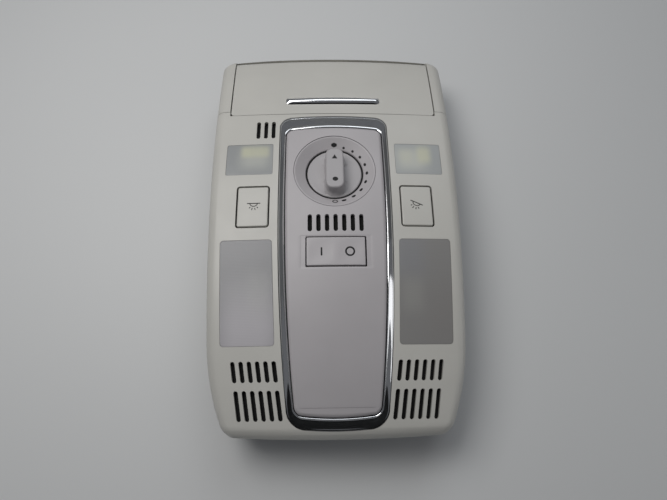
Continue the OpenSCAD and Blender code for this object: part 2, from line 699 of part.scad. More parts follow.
// Reflector trough of radius r and length l along X, open at the top
module trough(l, depth, r, t) {
    difference() {
        translate([-l / 2, 0, 0]) rotate([90, 0, 90]) linear_extrude(l) intersection() {
            union() {
                translate([0, r + t]) circle(r = r + t, $fn = round_fn);
                translate([-r - t, r + t]) square([2 * (r + t), depth]);
            }
            translate([-r - t, 0]) square([2 * (r + t), depth]);
        }
        translate([-l / 2 + t, 0, 0]) rotate([90, 0, 90]) linear_extrude(l - 2 * t) {
            translate([0, r + t]) circle(r = r, $fn = round_fn);
            translate([-r, r + t]) square([2 * r, depth]);
        }
    }
}
reflector_t = 1.4;
reading_refl_low = rim_z + 3;
reading_refl_top = face_z(reading_x + reading_w / 2, reading_y + reading_l / 2) - wall - seat - 1.6;
module reading_reflector() color(REFLECTOR) {
    r = reading_l / 2 - 1.4;
    difference() {
        translate([reading_x, reading_y, reading_refl_low])
            trough(reading_w - 1, reading_refl_top - reading_refl_low, r, reflector_t);
        post(reading_x, reading_y, rim_z, reading_refl_low + 10, holder_r + 0.3);
    }
    for (x = [-1, 1]) difference() {
        translate([reading_x + x * (reading_w / 2 - 3) - 1.5, reading_y - 4, rim_z])
            cube([3, 8, 5.5]);
        translate([reading_x, reading_y, reading_refl_low + r + reflector_t]) rotate([0, 90, 0])
            cylinder(h = reading_w + 4, r = r + 0.5, center = true, $fn = round_fn);
    }
}
holder_r = 5.6;
bulb_r = 4.6;
module bulb_holder() color(BLACK) difference() {
    union() {
        post(reading_x, reading_y, rim_z + 0.2, rim_z + 2.6, 8);
        post(reading_x, reading_y, rim_z + 2, rim_z + 8, holder_r);
    }
    post(reading_x, reading_y, rim_z + 4, rim_z + 9, 3);
}
module reading_bulb() color(GLASS) {
    post(reading_x, reading_y, rim_z + 4.2, rim_z + 9, 2.8);
    post(reading_x, reading_y, rim_z + 8.6, rim_z + 15, bulb_r);
    translate([reading_x, reading_y, rim_z + 15]) sphere(r = bulb_r, $fn = round_fn);
}

// The courtesy lamp: a trough along Y with a festoon bulb between two sprung contacts
courtesy_mid_x = courtesy_x - courtesy_lean / 2;
courtesy_refl_low = rim_z + 3;
courtesy_refl_top = face_z(courtesy_x + courtesy_w / 2, courtesy_y - courtesy_l / 2)
    - wall - seat - 1.6;
courtesy_trough_r = 12;
courtesy_trough_l = courtesy_l - 3;
module courtesy_reflector() color(REFLECTOR) {
    translate([courtesy_mid_x, courtesy_y, courtesy_refl_low]) rotate(90)
        trough(courtesy_trough_l, courtesy_refl_top - courtesy_refl_low,
               courtesy_trough_r, reflector_t);
    for (y = [-1, 1]) difference() {
        translate([courtesy_mid_x - 5, courtesy_y + y * (courtesy_trough_l / 2 - 6) - 1.5, rim_z])
            cube([10, 3, 6]);
        translate([courtesy_mid_x, courtesy_y, courtesy_refl_low + courtesy_trough_r + reflector_t])
            rotate([90, 0, 0])
                cylinder(h = courtesy_l, r = courtesy_trough_r + 0.5, center = true, $fn = round_fn);
    }
}
festoon_r = 4.2;
festoon_l = 26;
festoon_z = courtesy_refl_low + 11.5;
module festoon_bulb() color(GLASS) translate([courtesy_mid_x, courtesy_y, festoon_z])
    rotate([90, 0, 0]) rotate_extrude($fn = round_fn)
        polygon([[0, -festoon_l / 2 - 5], [1.4, -festoon_l / 2 - 4], [3, -festoon_l / 2 - 2.5],
                 [3.2, -festoon_l / 2 + 2], [festoon_r, -festoon_l / 2 + 3.5],
                 [festoon_r, festoon_l / 2 - 3.5], [3.2, festoon_l / 2 - 2],
                 [3, festoon_l / 2 + 2.5], [1.4, festoon_l / 2 + 4], [0, festoon_l / 2 + 5]]);
contact_w = 5;
contact_t = 0.5;
contact_reach = festoon_l / 2 + 5.3;
module bulb_contacts() color(STEEL) translate([courtesy_mid_x - contact_w / 2, courtesy_y, 0]) {
    foot_z = courtesy_refl_low + reflector_t + 0.35;
    for (y = [-contact_reach - contact_t, contact_reach])
        translate([0, y, foot_z]) cube([contact_w, contact_t, festoon_z + 3 - foot_z]);
    for (y = [-contact_reach - 0.1, contact_reach + 0.1 - 4])
        translate([0, y, foot_z]) cube([contact_w, 4, contact_t]);
}

// Switch board: a cross whose arms reach under the light buttons
arm_half_l = 15;
board_half_w = 34;
board_near_y = panel_near_y + 8;
board_far_y = panel_far_y;
arm_half_w = button_x + 9;
board_posts_at = [[30, board_far_y - 16], [30, board_near_y + 28], [arm_half_w - 3, button_y - 11]];
module switch_board() color(BOARD) difference() {
    union() {
        translate([-board_half_w, board_near_y, board_z])
            cube([2 * board_half_w, board_far_y - board_near_y, board_t]);
        translate([-arm_half_w, button_y - arm_half_l, board_z])
            cube([2 * arm_half_w, 2 * arm_half_l, board_t]);
    }
    mirrored() {
        for (p = panel_posts_at) post(p[0], p[1], board_z - 1, board_z + 3, screw_r + 0.2);
        for (p = board_posts_at) post(p[0], p[1], board_z - 1, board_z + 3, screw_r + 0.2);
    }
}
control_z = 13;
control_near_y = panel_near_y + 22;
control_far_y = panel_far_y - 20;
control_half_w = 36;
control_posts_at = [[control_half_w - 5, control_far_y - 5], [control_half_w - 5, control_near_y + 5]];
module control_board() color(BOARD) difference() {
    translate([-control_half_w, control_near_y, control_z])
        cube([2 * control_half_w, control_far_y - control_near_y, board_t]);
    mirrored() for (p = control_posts_at) post(p[0], p[1], control_z - 1, control_z + 3, screw_r + 0.2);
    mirrored() for (p = board_posts_at) if (p[0] < control_half_w)
        post(p[0], p[1], control_z - 1, control_z + 3, post_r + 0.6);
}
link_y = rocker_y - 24;
module board_link() color(BLACK)
    translate([-12, link_y, control_z + board_t]) cube([24, 5, board_z - control_z - board_t]);

// Connector: a shrouded socket that opens through the back
socket_y = link_y - 12;
socket_w = 28;
socket_d = 15;
socket_wall = 1.6;
socket_low = 0.6;
pin_rows = [-3, 3];
pins_per_row = 5;
module connector_socket() color(BLACK) difference() {
    translate([-socket_w / 2, socket_y - socket_d / 2, socket_low])
        cube([socket_w, socket_d, control_z - socket_low]);
    translate([-socket_w / 2 + socket_wall, socket_y - socket_d / 2 + socket_wall, socket_low - 1])
        cube([socket_w - 2 * socket_wall, socket_d - 2 * socket_wall, 10.4]);
    for (k = [0 : pins_per_row - 1], y = pin_rows)
        post((k - (pins_per_row - 1) / 2) * 4.4, socket_y + y, 8, 20, 0.5);
}
module connector_pins() color(STEEL) for (k = [0 : pins_per_row - 1], y = pin_rows)
    post((k - (pins_per_row - 1) / 2) * 4.4, socket_y + y, socket_low + 5.4, control_z, 0.45);

// Carrier: a flange that closes the trim's back, with a tub for the lamps and one for the bin
flange_t = 2.5;
flange_in = wall + 0.6;
tub_near_y = panel_near_y + 16;
hinge_y = half_len - flap_setback - flap_roll_r;
hinge_z = face_z(0, hinge_y) - flap_roll_r;
bin_back_y = hinge_y - 7;
tub_far_y = bin_back_y + 1.3 + tub_wall;
partition_y = hinge_y - bin_reach - 5;
bracket_x = 40;
bracket_t = 4;
hinge_eye_r = 2.7;
flange_stations = 16;
function flange_half(y) = trim_half_w(y) - flange_in;
flange_far_y = half_len - end_bow - strip_t - 0.6;
module flange_outline() {
    y0 = -half_len + flange_in + end_bow;
    y1 = flange_far_y;
    r = corner_r;
    right = [for (k = [0 : flange_stations]) let (y = y0 + r + (y1 - y0 - 2 * r) * k / flange_stations)
        [flange_half(y), y]];
    near = [for (a = [-90 : 22.5 : -22.5]) [flange_half(y0 + r) - r + r * cos(a), y0 + r + r * sin(a)]];
    far = [for (a = [22.5 : 22.5 : 90]) [flange_half(y1 - r) - r + r * cos(a), y1 - r + r * sin(a)]];
    half = concat(near, right, far);
    polygon(concat(half, [for (k = [len(half) - 1 : -1 : 0]) [-half[k][0], half[k][1]]]));
}
mount_y = (flap_y + panel_near_y) / 2 + 21;
tub_corner = 5;
module tub_block(half_w, y0, y1, z0, z1, r)
    prism(rounded_box(0, (y0 + y1) / 2, 2 * half_w, y1 - y0, r), z0, z1);
module tubs_outside() {
    tub_block(tub_half_w, tub_near_y, partition_y + tub_corner, 0, rim_z, tub_corner);
    tub_block(bin_tub_half_w, partition_y - tub_wall, tub_far_y, 0, rim_z, tub_corner);
}
module tubs_inside() {
    r = tub_corner - tub_wall;
    z1 = rim_z + tub_wall;
    tub_block(tub_half_w - tub_wall, tub_near_y + tub_wall, partition_y - tub_wall, tub_wall, z1, r);
    tub_block(bin_tub_half_w - tub_wall, partition_y, tub_far_y - tub_wall, tub_wall, z1, r);
}

// Shallow pockets in the tubs' floors, which leave stiffening ribs between them
pocket_depth = 1;
pocket_r = 3;
floor_rib = 2.4;
floor_edge = 7;
module floor_pockets(half_w, y0, y1, columns, rows) {
    pitch_x = (2 * half_w + floor_rib) / columns;
    pitch_y = (y1 - y0 + floor_rib) / rows;
    for (i = [0 : columns - 1], j = [0 : rows - 1])
        prism(rounded_box(-half_w + pitch_x * (i + 0.5) - floor_rib / 2,
                          y0 + pitch_y * (j + 0.5) - floor_rib / 2,
                          pitch_x - floor_rib, pitch_y - floor_rib, pocket_r), -1, pocket_depth);
}
module bracket_profile() {
    low = hinge_z - trough_r - 1;
    translate([hinge_y, hinge_z]) circle(r = hinge_eye_r, $fn = round_fn);
    polygon([[hinge_y - 5, low], [hinge_y + 2.4, low],
             [hinge_y + hinge_eye_r * 0.94, hinge_z - 0.9], [hinge_y - hinge_eye_r * 0.94, hinge_z - 0.9]]);
}
module along_x(w) rotate([90, 0, 90]) linear_extrude(w, center = true) children();

// Trough in the flange under the hinge, which the flap's rolled edge dips into as it opens
trough_r = flap_roll_r + 2.2;
module hinge_trough() difference() {
    along_x(2 * (flap_half_w + 1 + flange_t)) intersection() {
        translate([hinge_y, hinge_z]) circle(r = trough_r + flange_t, $fn = round_fn);
        translate([tub_far_y - tub_wall, hinge_z - 20]) square([flange_far_y - tub_far_y + tub_wall,
                                                               20 - hinge_z + rim_z]);
    }
    along_x(2 * (flap_half_w + 1)) translate([hinge_y, hinge_z]) circle(r = trough_r, $fn = round_fn);
}
module carrier() color(HOUSING) difference() {
    union() {
        difference() {
            union() {
                translate([0, 0, rim_z - flange_t]) linear_extrude(flange_t) flange_outline();
                tubs_outside();
            }
            along_x(2 * (flap_half_w + 1)) translate([hinge_y, hinge_z])
                circle(r = trough_r, $fn = round_fn);
        }
        hinge_trough();
        translate([-bin_tub_half_w + 8, partition_y - tub_wall, tub_wall])
            cube([2 * (bin_tub_half_w - 8), tub_wall, 40 - tub_wall]);
        mirrored() {
            translate([bracket_x, 0, 0]) along_x(bracket_t) bracket_profile();
            for (y = [tub_near_y + 12, tub_near_y + 62, tub_near_y + 112])
                translate([tub_half_w - 1, y, 0]) rotate([90, 0, 0]) linear_extrude(2)
                    polygon([[0, 6], [1, 6], [12, rim_z - 1], [0, rim_z - 1]]);
            for (p = board_posts_at) if (p[0] < tub_half_w) post(p[0], p[1], pocket_depth, board_z, post_r);
            for (p = board_posts_at) if (p[0] > tub_half_w) post(p[0], p[1], rim_z - 1, board_z, post_r);
            for (p = control_posts_at) post(p[0], p[1], pocket_depth, control_z, post_r);
        }
    }
    difference() {
        tubs_inside();
        mirrored() {
            for (p = board_posts_at) if (p[0] < tub_half_w) post(p[0], p[1], pocket_depth, board_z, post_r);
            for (p = control_posts_at) post(p[0], p[1], pocket_depth, control_z, post_r);
        }
        translate([-bin_tub_half_w + 8, partition_y - tub_wall, tub_wall])
            cube([2 * (bin_tub_half_w - 8), tub_wall, 40 - tub_wall]);
    }
    mirrored() {
        for (p = concat(bezel_screws_at, [frame_screw_at]))
            post(p[0], p[1], rim_z - flange_t - 1, rim_z + 1, screw_r + 0.2);
        for (p = board_posts_at) post(p[0], p[1], board_z - 8, board_z + 1, screw_r);
        for (p = control_posts_at) post(p[0], p[1], control_z - 8, control_z + 1, screw_r);
        for (s = [-1, 1])
            post(mount_span_x / 2, mount_y + s * mount_span_y / 2, rim_z - 6, rim_z + 1, mount_hole_r);
        for (k = [0 : 3]) translate([12 + 6 * k, tub_near_y + 8, -1]) cube([3, 14, 5]);
        translate([bracket_x, hinge_y, hinge_z]) rotate([0, 90, 0])
            cylinder(h = bracket_t + 2, r = hinge_rod_r + fit, center = true, $fn = round_fn);
    }
    translate([-socket_w / 2 - seat, socket_y - socket_d / 2 - seat, -1])
        cube([socket_w + 2 * seat, socket_d + 2 * seat, 5]);
    floor_pockets(tub_half_w - floor_edge, socket_y + socket_d / 2 + 10, partition_y - 12, 2, 4);
    floor_pockets(bin_tub_half_w - floor_edge, partition_y + 5, tub_far_y - 6, 4, 1);
}

// Bent spring clips on the tub's sides, which hold the console up in the roof
clip_t = 0.8;
clip_w = 10;
module spring_clips() color(STEEL) mirrored() for (y = [tub_near_y + 30, tub_near_y + 94])
    translate([tub_half_w, y, 0]) rotate([90, 0, 0]) linear_extrude(clip_w, center = true)
        polygon([[0, 6], [clip_t, 6], [clip_t + 5.2, 17], [clip_t, 22.5], [clip_t, 24.5], [0, 24.5],
                 [0, 22], [4.6, 17], [0, 7.5]]);

module face_down(p, z) translate([p[0], p[1], z]) rotate([180, 0, 0]) children();
module screw(x, y, z, length, head_r = 2.8) {
    post(x, y, z, z + length, screw_r);
    difference() {
        post(x, y, z - 1.8, z, head_r);
        translate([x - 0.4, y - head_r - 1, z - 2.6]) cube([0.8, 2 * head_r + 2, 1.4]);
    }
}
module bezel_screws() color(STEEL) mirrored()
    for (p = concat(bezel_screws_at, [frame_screw_at])) screw(p[0], p[1], rim_z - flange_t, 9);
module board_screws() color(STEEL) mirrored() {
    for (p = board_posts_at) face_down(p, board_z + board_t) screw(0, 0, 0, 8);
    for (p = control_posts_at) face_down(p, control_z + board_t) screw(0, 0, 0, 7);
    for (p = panel_posts_at) screw(p[0], p[1], board_z, 10);
}

// Black meshes close the slots from behind
mesh_t = 0.8;
module mesh_patch(surface_z, skin, x, y, w, l) color(BLACK)
    slab(surface_z, x - w / 2, x + w / 2, y - l / 2, y + l / 2,
         -skin - 2 * seat, -skin - 2 * seat - mesh_t, 6, 6);
module grille_mesh() color(BLACK) intersection() {
    y0 = grille_rows[1][1] - 1;
    y1 = grille_rows[0][0] + 1;
    x0 = -slot_w / 2 - 0.2;
    x1 = grille_pitch * (grille_slots - 1) + slot_w / 2 + 0.2;
    mesh_patch(function (x, y) face_z(x, y), wall, grille_mid_x, grille_mid_y,
               grille_pitch * grille_slots + 12, y1 - y0 + 4);
    prism([[grille_slot_x(0, y0) + x0, y0], [grille_slot_x(0, y0) + x1, y0],
           [grille_slot_x(0, y1) + x1, y1], [grille_slot_x(0, y1) + x0, y1]]);
}
module mic_mesh() mesh_patch(function (x, y) face_z(x, y), wall, mic_x, mic_y, 16, mic_slot_l + 3);
module vent_mesh() mesh_patch(function (x, y) panel_z(x, y), panel_skin, 0, vent_y,
    vent_pitch * vent_slots + 2, vent_l + 2.4);

// Motion sensors stand on the flange behind the lower grilles
module motion_sensor() color(HOUSING) {
    x = grille_mid_x;
    translate([x - 9, grille_mid_y - 10, rim_z]) cube([18, 20, 3]);
    post(x, grille_mid_y, rim_z + 2, rim_z + 9, 7.5);
}
module microphone() color(HOUSING) {
    y = mic_y - 2.6;
    translate([mic_x - 6, y - 6, rim_z]) cube([12, 12, 12]);
    post(mic_x, y, rim_z + 11, face_z(mic_x - 4, y + 5) - wall - seat - mesh_t - 0.6, 4.5);
}

// Flap: a rolled shell that turns about the hinge with the bin behind it
flap_skin = 2.2;
flap_depth = 3.2;
flap_far_y = half_len - flap_setback;
bin_half_w = 65.5;
bin_gap = 1.2;
floor_y = [flap_y + 1.5, bin_back_y - 0.2];
function bin_floor_z(y) =
    let (z0 = face_z(bin_half_w, floor_y[0]) - wall - bin_gap,
         z1 = face_z(bin_half_w, floor_y[1]) - wall - bin_gap)
    z0 + (z1 - z0) * (y - floor_y[0]) / (floor_y[1] - floor_y[0]);
flap_posts_at = [[50, flap_y + 10], [50, flap_y + 32]];
flap_bow = end_bow * pow(flap_half_w / (trim_w / 2), 2);
function flap_low(x, y) = face_z(x, y) - flap_depth
    - (flap_roll_r - 1.4) * max(0, 1 - (half_len - flap_bow * pow(x / flap_half_w, 2) - y)
                                       / (flap_roll_r + flap_setback));
module flap_form(d, low) {
    crowned_block(flap_y + d, flap_far_y - d, function (y) flap_half_w - d,
        function (x, y) face_z(x, y) - d, function (x, y) flap_low(x, y) - low,
        d > 0 ? 0 : 0.8, d > 0 ? 0 : 0.8, flap_roll_r - d, d > 0 ? 0 : 2.4, 0, 0, flap_bow, 5, 6);
}
module bin_flap() color(TRIM) {
    difference() {
        flap_form(0, 0);
        flap_form(flap_skin, 4);
    }
    mirrored() for (p = flap_posts_at) difference() {
        intersection() {
            post(p[0], p[1], 20, 70, 3.2);
            along_x(big) polygon([[p[1] - 5, bin_floor_z(p[1] - 5)], [p[1] + 5, bin_floor_z(p[1] + 5)],
                [p[1] + 5, face_z(p[0], p[1] + 5) - 1.1], [p[1] - 5, face_z(p[0], p[1] - 5) - 1.1]]);
        }
        post(p[0], p[1], 20, bin_floor_z(p[1]) + 3.5, screw_r - 0.3);
    }
}

// Finger strip: a half-round bar swept along the flap's crown, with rounded ends
strip_y = flap_y + 11.6;
strip_h = 1.8;
strip_r = (pow(strip_w / 2, 2) + pow(strip_h, 2)) / (2 * strip_h);
strip_clear = 0.05;
module strip_section() intersection() {
    translate([strip_h - strip_r, 0]) circle(r = strip_r, $fn = round_fn);
    translate([strip_clear, -strip_w]) square([strip_w, 2 * strip_w]);
}
module flap_strip() color(CHROME) {
    half_angle = asin((strip_half_l + 1) / face_cross_r);
    slope = atan((strip_y - crest_y) / crown_r);
    intersection() {
        translate([0, strip_y, face_z(0, strip_y) - face_cross_r]) rotate([90, 0, 0])
            rotate(90 - half_angle) rotate_extrude(angle = 2 * half_angle, $fn = 1440)
                translate([face_cross_r, 0]) rotate(-slope) strip_section();
        prism(rounded_box(0, strip_y, 2 * strip_half_l, strip_w + 1, 2.8));
    }
}

// Stowage bin: a quadrant about the hinge, open at the back, with a curved lip at the front
lip_z = 34;
module bin_profile(d) {
    intersection() {
        translate([hinge_y, hinge_z]) circle(r = bin_reach - d, $fn = 180);
        polygon([[floor_y[0] - 20, bin_floor_z(floor_y[0] - 20) - d],
                 [bin_back_y - d, bin_floor_z(bin_back_y - d) - d], [bin_back_y - d, d > 0 ? -5 : 8],
                 [floor_y[0] - 20, d > 0 ? -5 : 8]]);
    }
}
knuckle_x = [bracket_x - 4.8, bracket_x + 4.8];
module knuckle_profile() {
    translate([hinge_y, hinge_z]) circle(r = hinge_eye_r, $fn = round_fn);
    polygon([[bin_back_y - 1, hinge_z - 4.5], [hinge_y, hinge_z - hinge_eye_r],
             [hinge_y, hinge_z + hinge_eye_r], [bin_back_y - 1, hinge_z + hinge_eye_r]]);
}
module stowage_bin() color(HOUSING) difference() {
    union() {
        difference() {
            along_x(2 * bin_half_w) bin_profile(0);
            along_x(2 * (bin_half_w - bin_wall)) bin_profile(bin_wall);
            translate([0, flap_y - 10, lip_z - 50]) difference() {
                translate([-bin_half_w + bin_wall, 0, 0]) cube([2 * (bin_half_w - bin_wall), 24, 50]);
                translate([-4, -1, 46]) cube([8, 30, 10]);
            }
        }
        mirrored() for (x = knuckle_x) translate([x, 0, 0]) along_x(4) knuckle_profile();
    }
    mirrored() {
        for (x = knuckle_x) translate([x, hinge_y, hinge_z]) rotate([0, 90, 0])
            cylinder(h = 6, r = hinge_rod_r + fit, center = true, $fn = round_fn);
        for (p = flap_posts_at) post(p[0], p[1], 20, 60, screw_r);
    }
}
module bin_screws() color(STEEL) mirrored() for (p = flap_posts_at) {
    low = bin_floor_z(p[1]) - bin_wall - 1.2;
    post(p[0], p[1], low, low + bin_wall + 3.6, screw_r - 0.4);
    post(p[0], p[1], low - 1.6, low, 2.6);
}
rod_half_l = bracket_x + 9;
module hinge_rod() color(STEEL) translate([0, hinge_y, hinge_z]) rotate([0, 90, 0])
    cylinder(h = 2 * rod_half_l, r = hinge_rod_r, center = true, $fn = round_fn);
module hinge_spring() color(STEEL) translate([-9, hinge_y, hinge_z]) rotate([0, 90, 0])
    coil(hinge_rod_r + 0.75, 0.35, 9, 18, 6, 10);

// Catch on the partition, whose jaws hold the bin's tongue
catch_w = 12;
module flap_catch() color(BLACK) difference() {
    translate([-catch_w / 2, partition_y, lip_z - 12]) cube([catch_w, 9, 12.5]);
    translate([0, hinge_y, hinge_z]) rotate([0, 90, 0]) difference() {
        cylinder(h = catch_w + 2, r = bin_reach + 0.4, center = true, $fn = 180);
        cylinder(h = catch_w + 4, r = bin_reach - bin_wall - 0.4, center = true, $fn = 180);
    }
    along_x(catch_w + 2) polygon([[hinge_y - bin_reach + bin_wall + 0.4, 0],
        [hinge_y, 0], [hinge_y, 60], [hinge_y - bin_reach + bin_wall + 0.4, 60]]);
}

bezel();
front_frame();
chrome_surround();
centre_panel();
dial_dish();
rotary_switch();
switch_plunger();
roof_knob();
knob_shaft();
rocker();
rocker_pin();
rocker_switch();
mirror([1, 0, 0]) light_button();  // left_light_button
light_button();  // right_light_button
mirror([1, 0, 0]) button_switch();  // left_button_switch
button_switch();  // right_button_switch
mirror([1, 0, 0]) button_spring();  // left_button_spring
button_spring();  // right_button_spring
mirror([1, 0, 0]) reading_lens();  // left_reading_lens
reading_lens();  // right_reading_lens
mirror([1, 0, 0]) courtesy_lens();  // left_courtesy_lens
courtesy_lens();  // right_courtesy_lens
mirror([1, 0, 0]) reading_reflector();  // left_reading_reflector
reading_reflector();  // right_reading_reflector
mirror([1, 0, 0]) courtesy_reflector();  // left_courtesy_reflector
courtesy_reflector();  // right_courtesy_reflector
mirror([1, 0, 0]) reading_bulb();  // left_reading_bulb
reading_bulb();  // right_reading_bulb
mirror([1, 0, 0]) bulb_holder();  // left_bulb_holder
bulb_holder();  // right_bulb_holder
mirror([1, 0, 0]) festoon_bulb();  // left_festoon_bulb
festoon_bulb();  // right_festoon_bulb
mirror([1, 0, 0]) bulb_contacts();  // left_bulb_contacts
bulb_contacts();  // right_bulb_contacts
switch_board();
control_board();
board_link();
connector_socket();
connector_pins();
carrier();
spring_clips();
bezel_screws();
board_screws();
mirror([1, 0, 0]) grille_mesh();  // left_grille_mesh
grille_mesh();  // right_grille_mesh
mirror([1, 0, 0]) motion_sensor();  // left_motion_sensor
motion_sensor();  // right_motion_sensor
microphone();
mic_mesh();
vent_mesh();
bin_flap();
flap_strip();
stowage_bin();
bin_screws();
hinge_rod();
hinge_spring();
flap_catch();
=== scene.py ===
# %% [markdown]
# A car's dome light and roof console lies on its back, show face up. Its solids come from the packed
# model, which sets every size. This script dresses that frame: it replaces the pieces that show with
# finer ones, and gives each piece its finish. +Y points to the stowage flap, +Z out of the show face.

# %% Load the frame
import bmesh
import bpy
import json
import math
from mathutils import Matrix, Vector


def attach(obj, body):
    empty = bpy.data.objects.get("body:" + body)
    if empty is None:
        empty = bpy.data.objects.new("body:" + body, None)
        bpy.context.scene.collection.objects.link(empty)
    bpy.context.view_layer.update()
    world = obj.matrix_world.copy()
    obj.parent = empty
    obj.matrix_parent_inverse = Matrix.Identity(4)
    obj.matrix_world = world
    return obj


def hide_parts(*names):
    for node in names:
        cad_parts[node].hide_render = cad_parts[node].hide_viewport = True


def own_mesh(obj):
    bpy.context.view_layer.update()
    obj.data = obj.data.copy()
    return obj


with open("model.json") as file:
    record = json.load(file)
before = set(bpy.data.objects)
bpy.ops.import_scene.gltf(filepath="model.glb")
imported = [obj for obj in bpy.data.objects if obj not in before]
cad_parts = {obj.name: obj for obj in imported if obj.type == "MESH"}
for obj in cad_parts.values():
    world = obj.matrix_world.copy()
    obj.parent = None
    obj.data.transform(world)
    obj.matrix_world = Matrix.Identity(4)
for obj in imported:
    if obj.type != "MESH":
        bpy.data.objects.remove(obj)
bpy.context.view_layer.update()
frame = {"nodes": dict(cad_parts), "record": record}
NODES = frame["nodes"]

# %% [markdown]
# A camera is easiest to set from a photograph by what can be measured in it: the point it looks at,
# how far it stands off, the height and the side it looks from, and how far it is rolled about its own
# line of sight. They were fitted together, until the corners of the real object fell on their pixels.
# The lens is given in pixels here, because that is what a photograph's perspective gives, and is
# turned into millimetres on Blender's 36 mm sensor.

# %% Camera
MM = 0.001


def placed(name, data):
    """A new object with this data, linked into the scene."""
    holder = bpy.data.objects.new(name, data)
    bpy.context.scene.collection.objects.link(holder)
    return holder


PICTURE_W, LENS_PIXELS, SENSOR = 667, 501.0, 36.0
LOOK_AT = Vector((-1.4, -24.3, 58.0)) * MM
STAND_OFF = 305.0 * MM
HEIGHT_ANGLE, SIDE_ANGLE, ROLL = math.radians(71.9), math.radians(4.5), math.radians(3.8)

camera = placed("camera", bpy.data.cameras.new("camera"))
bpy.context.scene.camera = camera
camera.data.lens = LENS_PIXELS / PICTURE_W * SENSOR
camera.data.clip_start, camera.data.clip_end = 0.01, 20
away = Matrix.Rotation(-SIDE_ANGLE, 3, "Z") @ Vector((0, -math.cos(HEIGHT_ANGLE), math.sin(HEIGHT_ANGLE)))
turn = (-away).to_track_quat("-Z", "Y").to_matrix() @ Matrix.Rotation(ROLL, 3, "Z")
camera.matrix_world = Matrix.Translation(LOOK_AT + away * STAND_OFF) @ turn.to_4x4()
print("lens", round(camera.data.lens, 2), "mm")

# %% [markdown]
# Pale plastic shows its form only where the light falls off across it, so one soft lamp hangs close
# above and to the left, and a larger, cooler one past the flap end lifts its shadows. Plated trim
# shows what stands round it and little else. A low lamp on the right draws its bright line there, and
# plain cards stand round the object, which only its glossy surfaces see. The near one is almost
# black, because a mirror without something dark in it looks like paint. The floor is a pale sheet.

# %% Floor, lamps and cards
OBJECT_MIDDLE = Vector((0, 0, 0.03))


def facing_object(place):
    """A matrix that stands a lamp or a card at the place and turns its -Z to the object."""
    turned_to = (OBJECT_MIDDLE - Vector(place)).to_track_quat("-Z", "Y").to_matrix().to_4x4()
    return Matrix.Translation(Vector(place)) @ turned_to


def as_mesh(shape, name):
    """A mesh made from a bmesh, which is used up."""
    mesh = bpy.data.meshes.new(name)
    shape.to_mesh(mesh)
    shape.free()
    return mesh


def moved(shape, matrix):
    bmesh.ops.transform(shape, matrix=matrix, verts=shape.verts)
    return shape


def lamp(name, place, width, height, power, tint=(1, 1, 1)):
    light = bpy.data.lights.new(name, "AREA")
    light.shape, light.size, light.size_y = "RECTANGLE", width, height
    light.energy, light.color = power, tint
    placed(name, light).matrix_world = facing_object(place)


def plane(name, width, length, move):
    shape = bmesh.new()
    bmesh.ops.create_grid(shape, x_segments=1, y_segments=1, size=0.5)
    bmesh.ops.scale(shape, vec=(width, length, 1), verts=shape.verts)
    sheet = placed(name, as_mesh(moved(shape, move), name))
    return sheet


def plain_paint(name, colour, roughness):
    paint = bpy.data.materials.new(name)
    paint.use_nodes = True
    shader = paint.node_tree.nodes["Principled BSDF"]
    shader.inputs["Base Color"].default_value = (*colour, 1)
    shader.inputs["Roughness"].default_value = roughness
    return paint


def card(name, place, width, height, shade):
    sheet = plane(name, width, height, facing_object(place))
    sheet.data.materials.append(plain_paint(name + " paint", (shade,) * 3, 0.6))
    for kind in ("camera", "diffuse", "shadow", "transmission", "volume_scatter"):
        setattr(sheet, "visible_" + kind, False)


FLOOR_COLOUR = (0.66, 0.67, 0.67)
floor = plane("floor", 8, 8, Matrix.Translation((0, 0, -0.0002)))
floor.data.materials.append(plain_paint("floor paint", FLOOR_COLOUR, 0.55))

lamp("key lamp", (-0.22, 0.13, 0.54), 0.3, 0.3, 1.55, (1.0, 0.985, 0.97))
lamp("fill lamp", (0.20, 0.72, 0.85), 0.6, 0.6, 2.1, (0.94, 0.97, 1.0))
lamp("strip lamp", (0.74, -0.12, 0.20), 0.36, 0.34, 0.40)

card("near card", (0.0, -0.63, 0.70), 0.9, 0.56, 0.004)
card("far card", (0.0, 0.70, 0.17), 0.9, 0.26, 0.40)
card("left card", (-0.80, 0.1, 0.18), 1.3, 0.30, 0.34)
card("right card", (0.66, 0.44, 0.16), 0.55, 0.30, 0.24)

world = bpy.data.worlds.new("room")
bpy.context.scene.world = world
world.use_nodes = True
room = world.node_tree.nodes["Background"]
room.inputs["Color"].default_value = (0.93, 0.95, 1.0, 1)
room.inputs["Strength"].default_value = 0.13
bpy.context.scene.view_settings.view_transform = "Standard"
print("lamps", len(bpy.data.lights))

# %% [markdown]
# Finishes are node trees. Written as plain sums they stay readable, so a socket is wrapped in a small
# class whose + - * / make the Math nodes, and a finish makes every other node by one method.

# %% Shader maths
class Reading:
    """A number that varies over a surface."""

    def __init__(self, finish, socket):
        self.finish, self.socket = finish, socket

    def _maths(self, operation, first, second=0.0):
        return self.finish.node("Math", {"operation": operation}, {0: first, 1: second})

    def __add__(self, other):
        return self._maths("ADD", self, other)

    __radd__ = __add__

    def __mul__(self, other):
        return self._maths("MULTIPLY", self, other)

    __rmul__ = __mul__

    def __sub__(self, other):
        return self._maths("SUBTRACT", self, other)

    def __rsub__(self, other):
        return self._maths("SUBTRACT", other, self)

    def __truediv__(self, other):
        return self._maths("DIVIDE", self, other)

    def __rtruediv__(self, other):
        return self._maths("DIVIDE", other, self)

    def __abs__(self):
        return self._maths("ABSOLUTE", self)


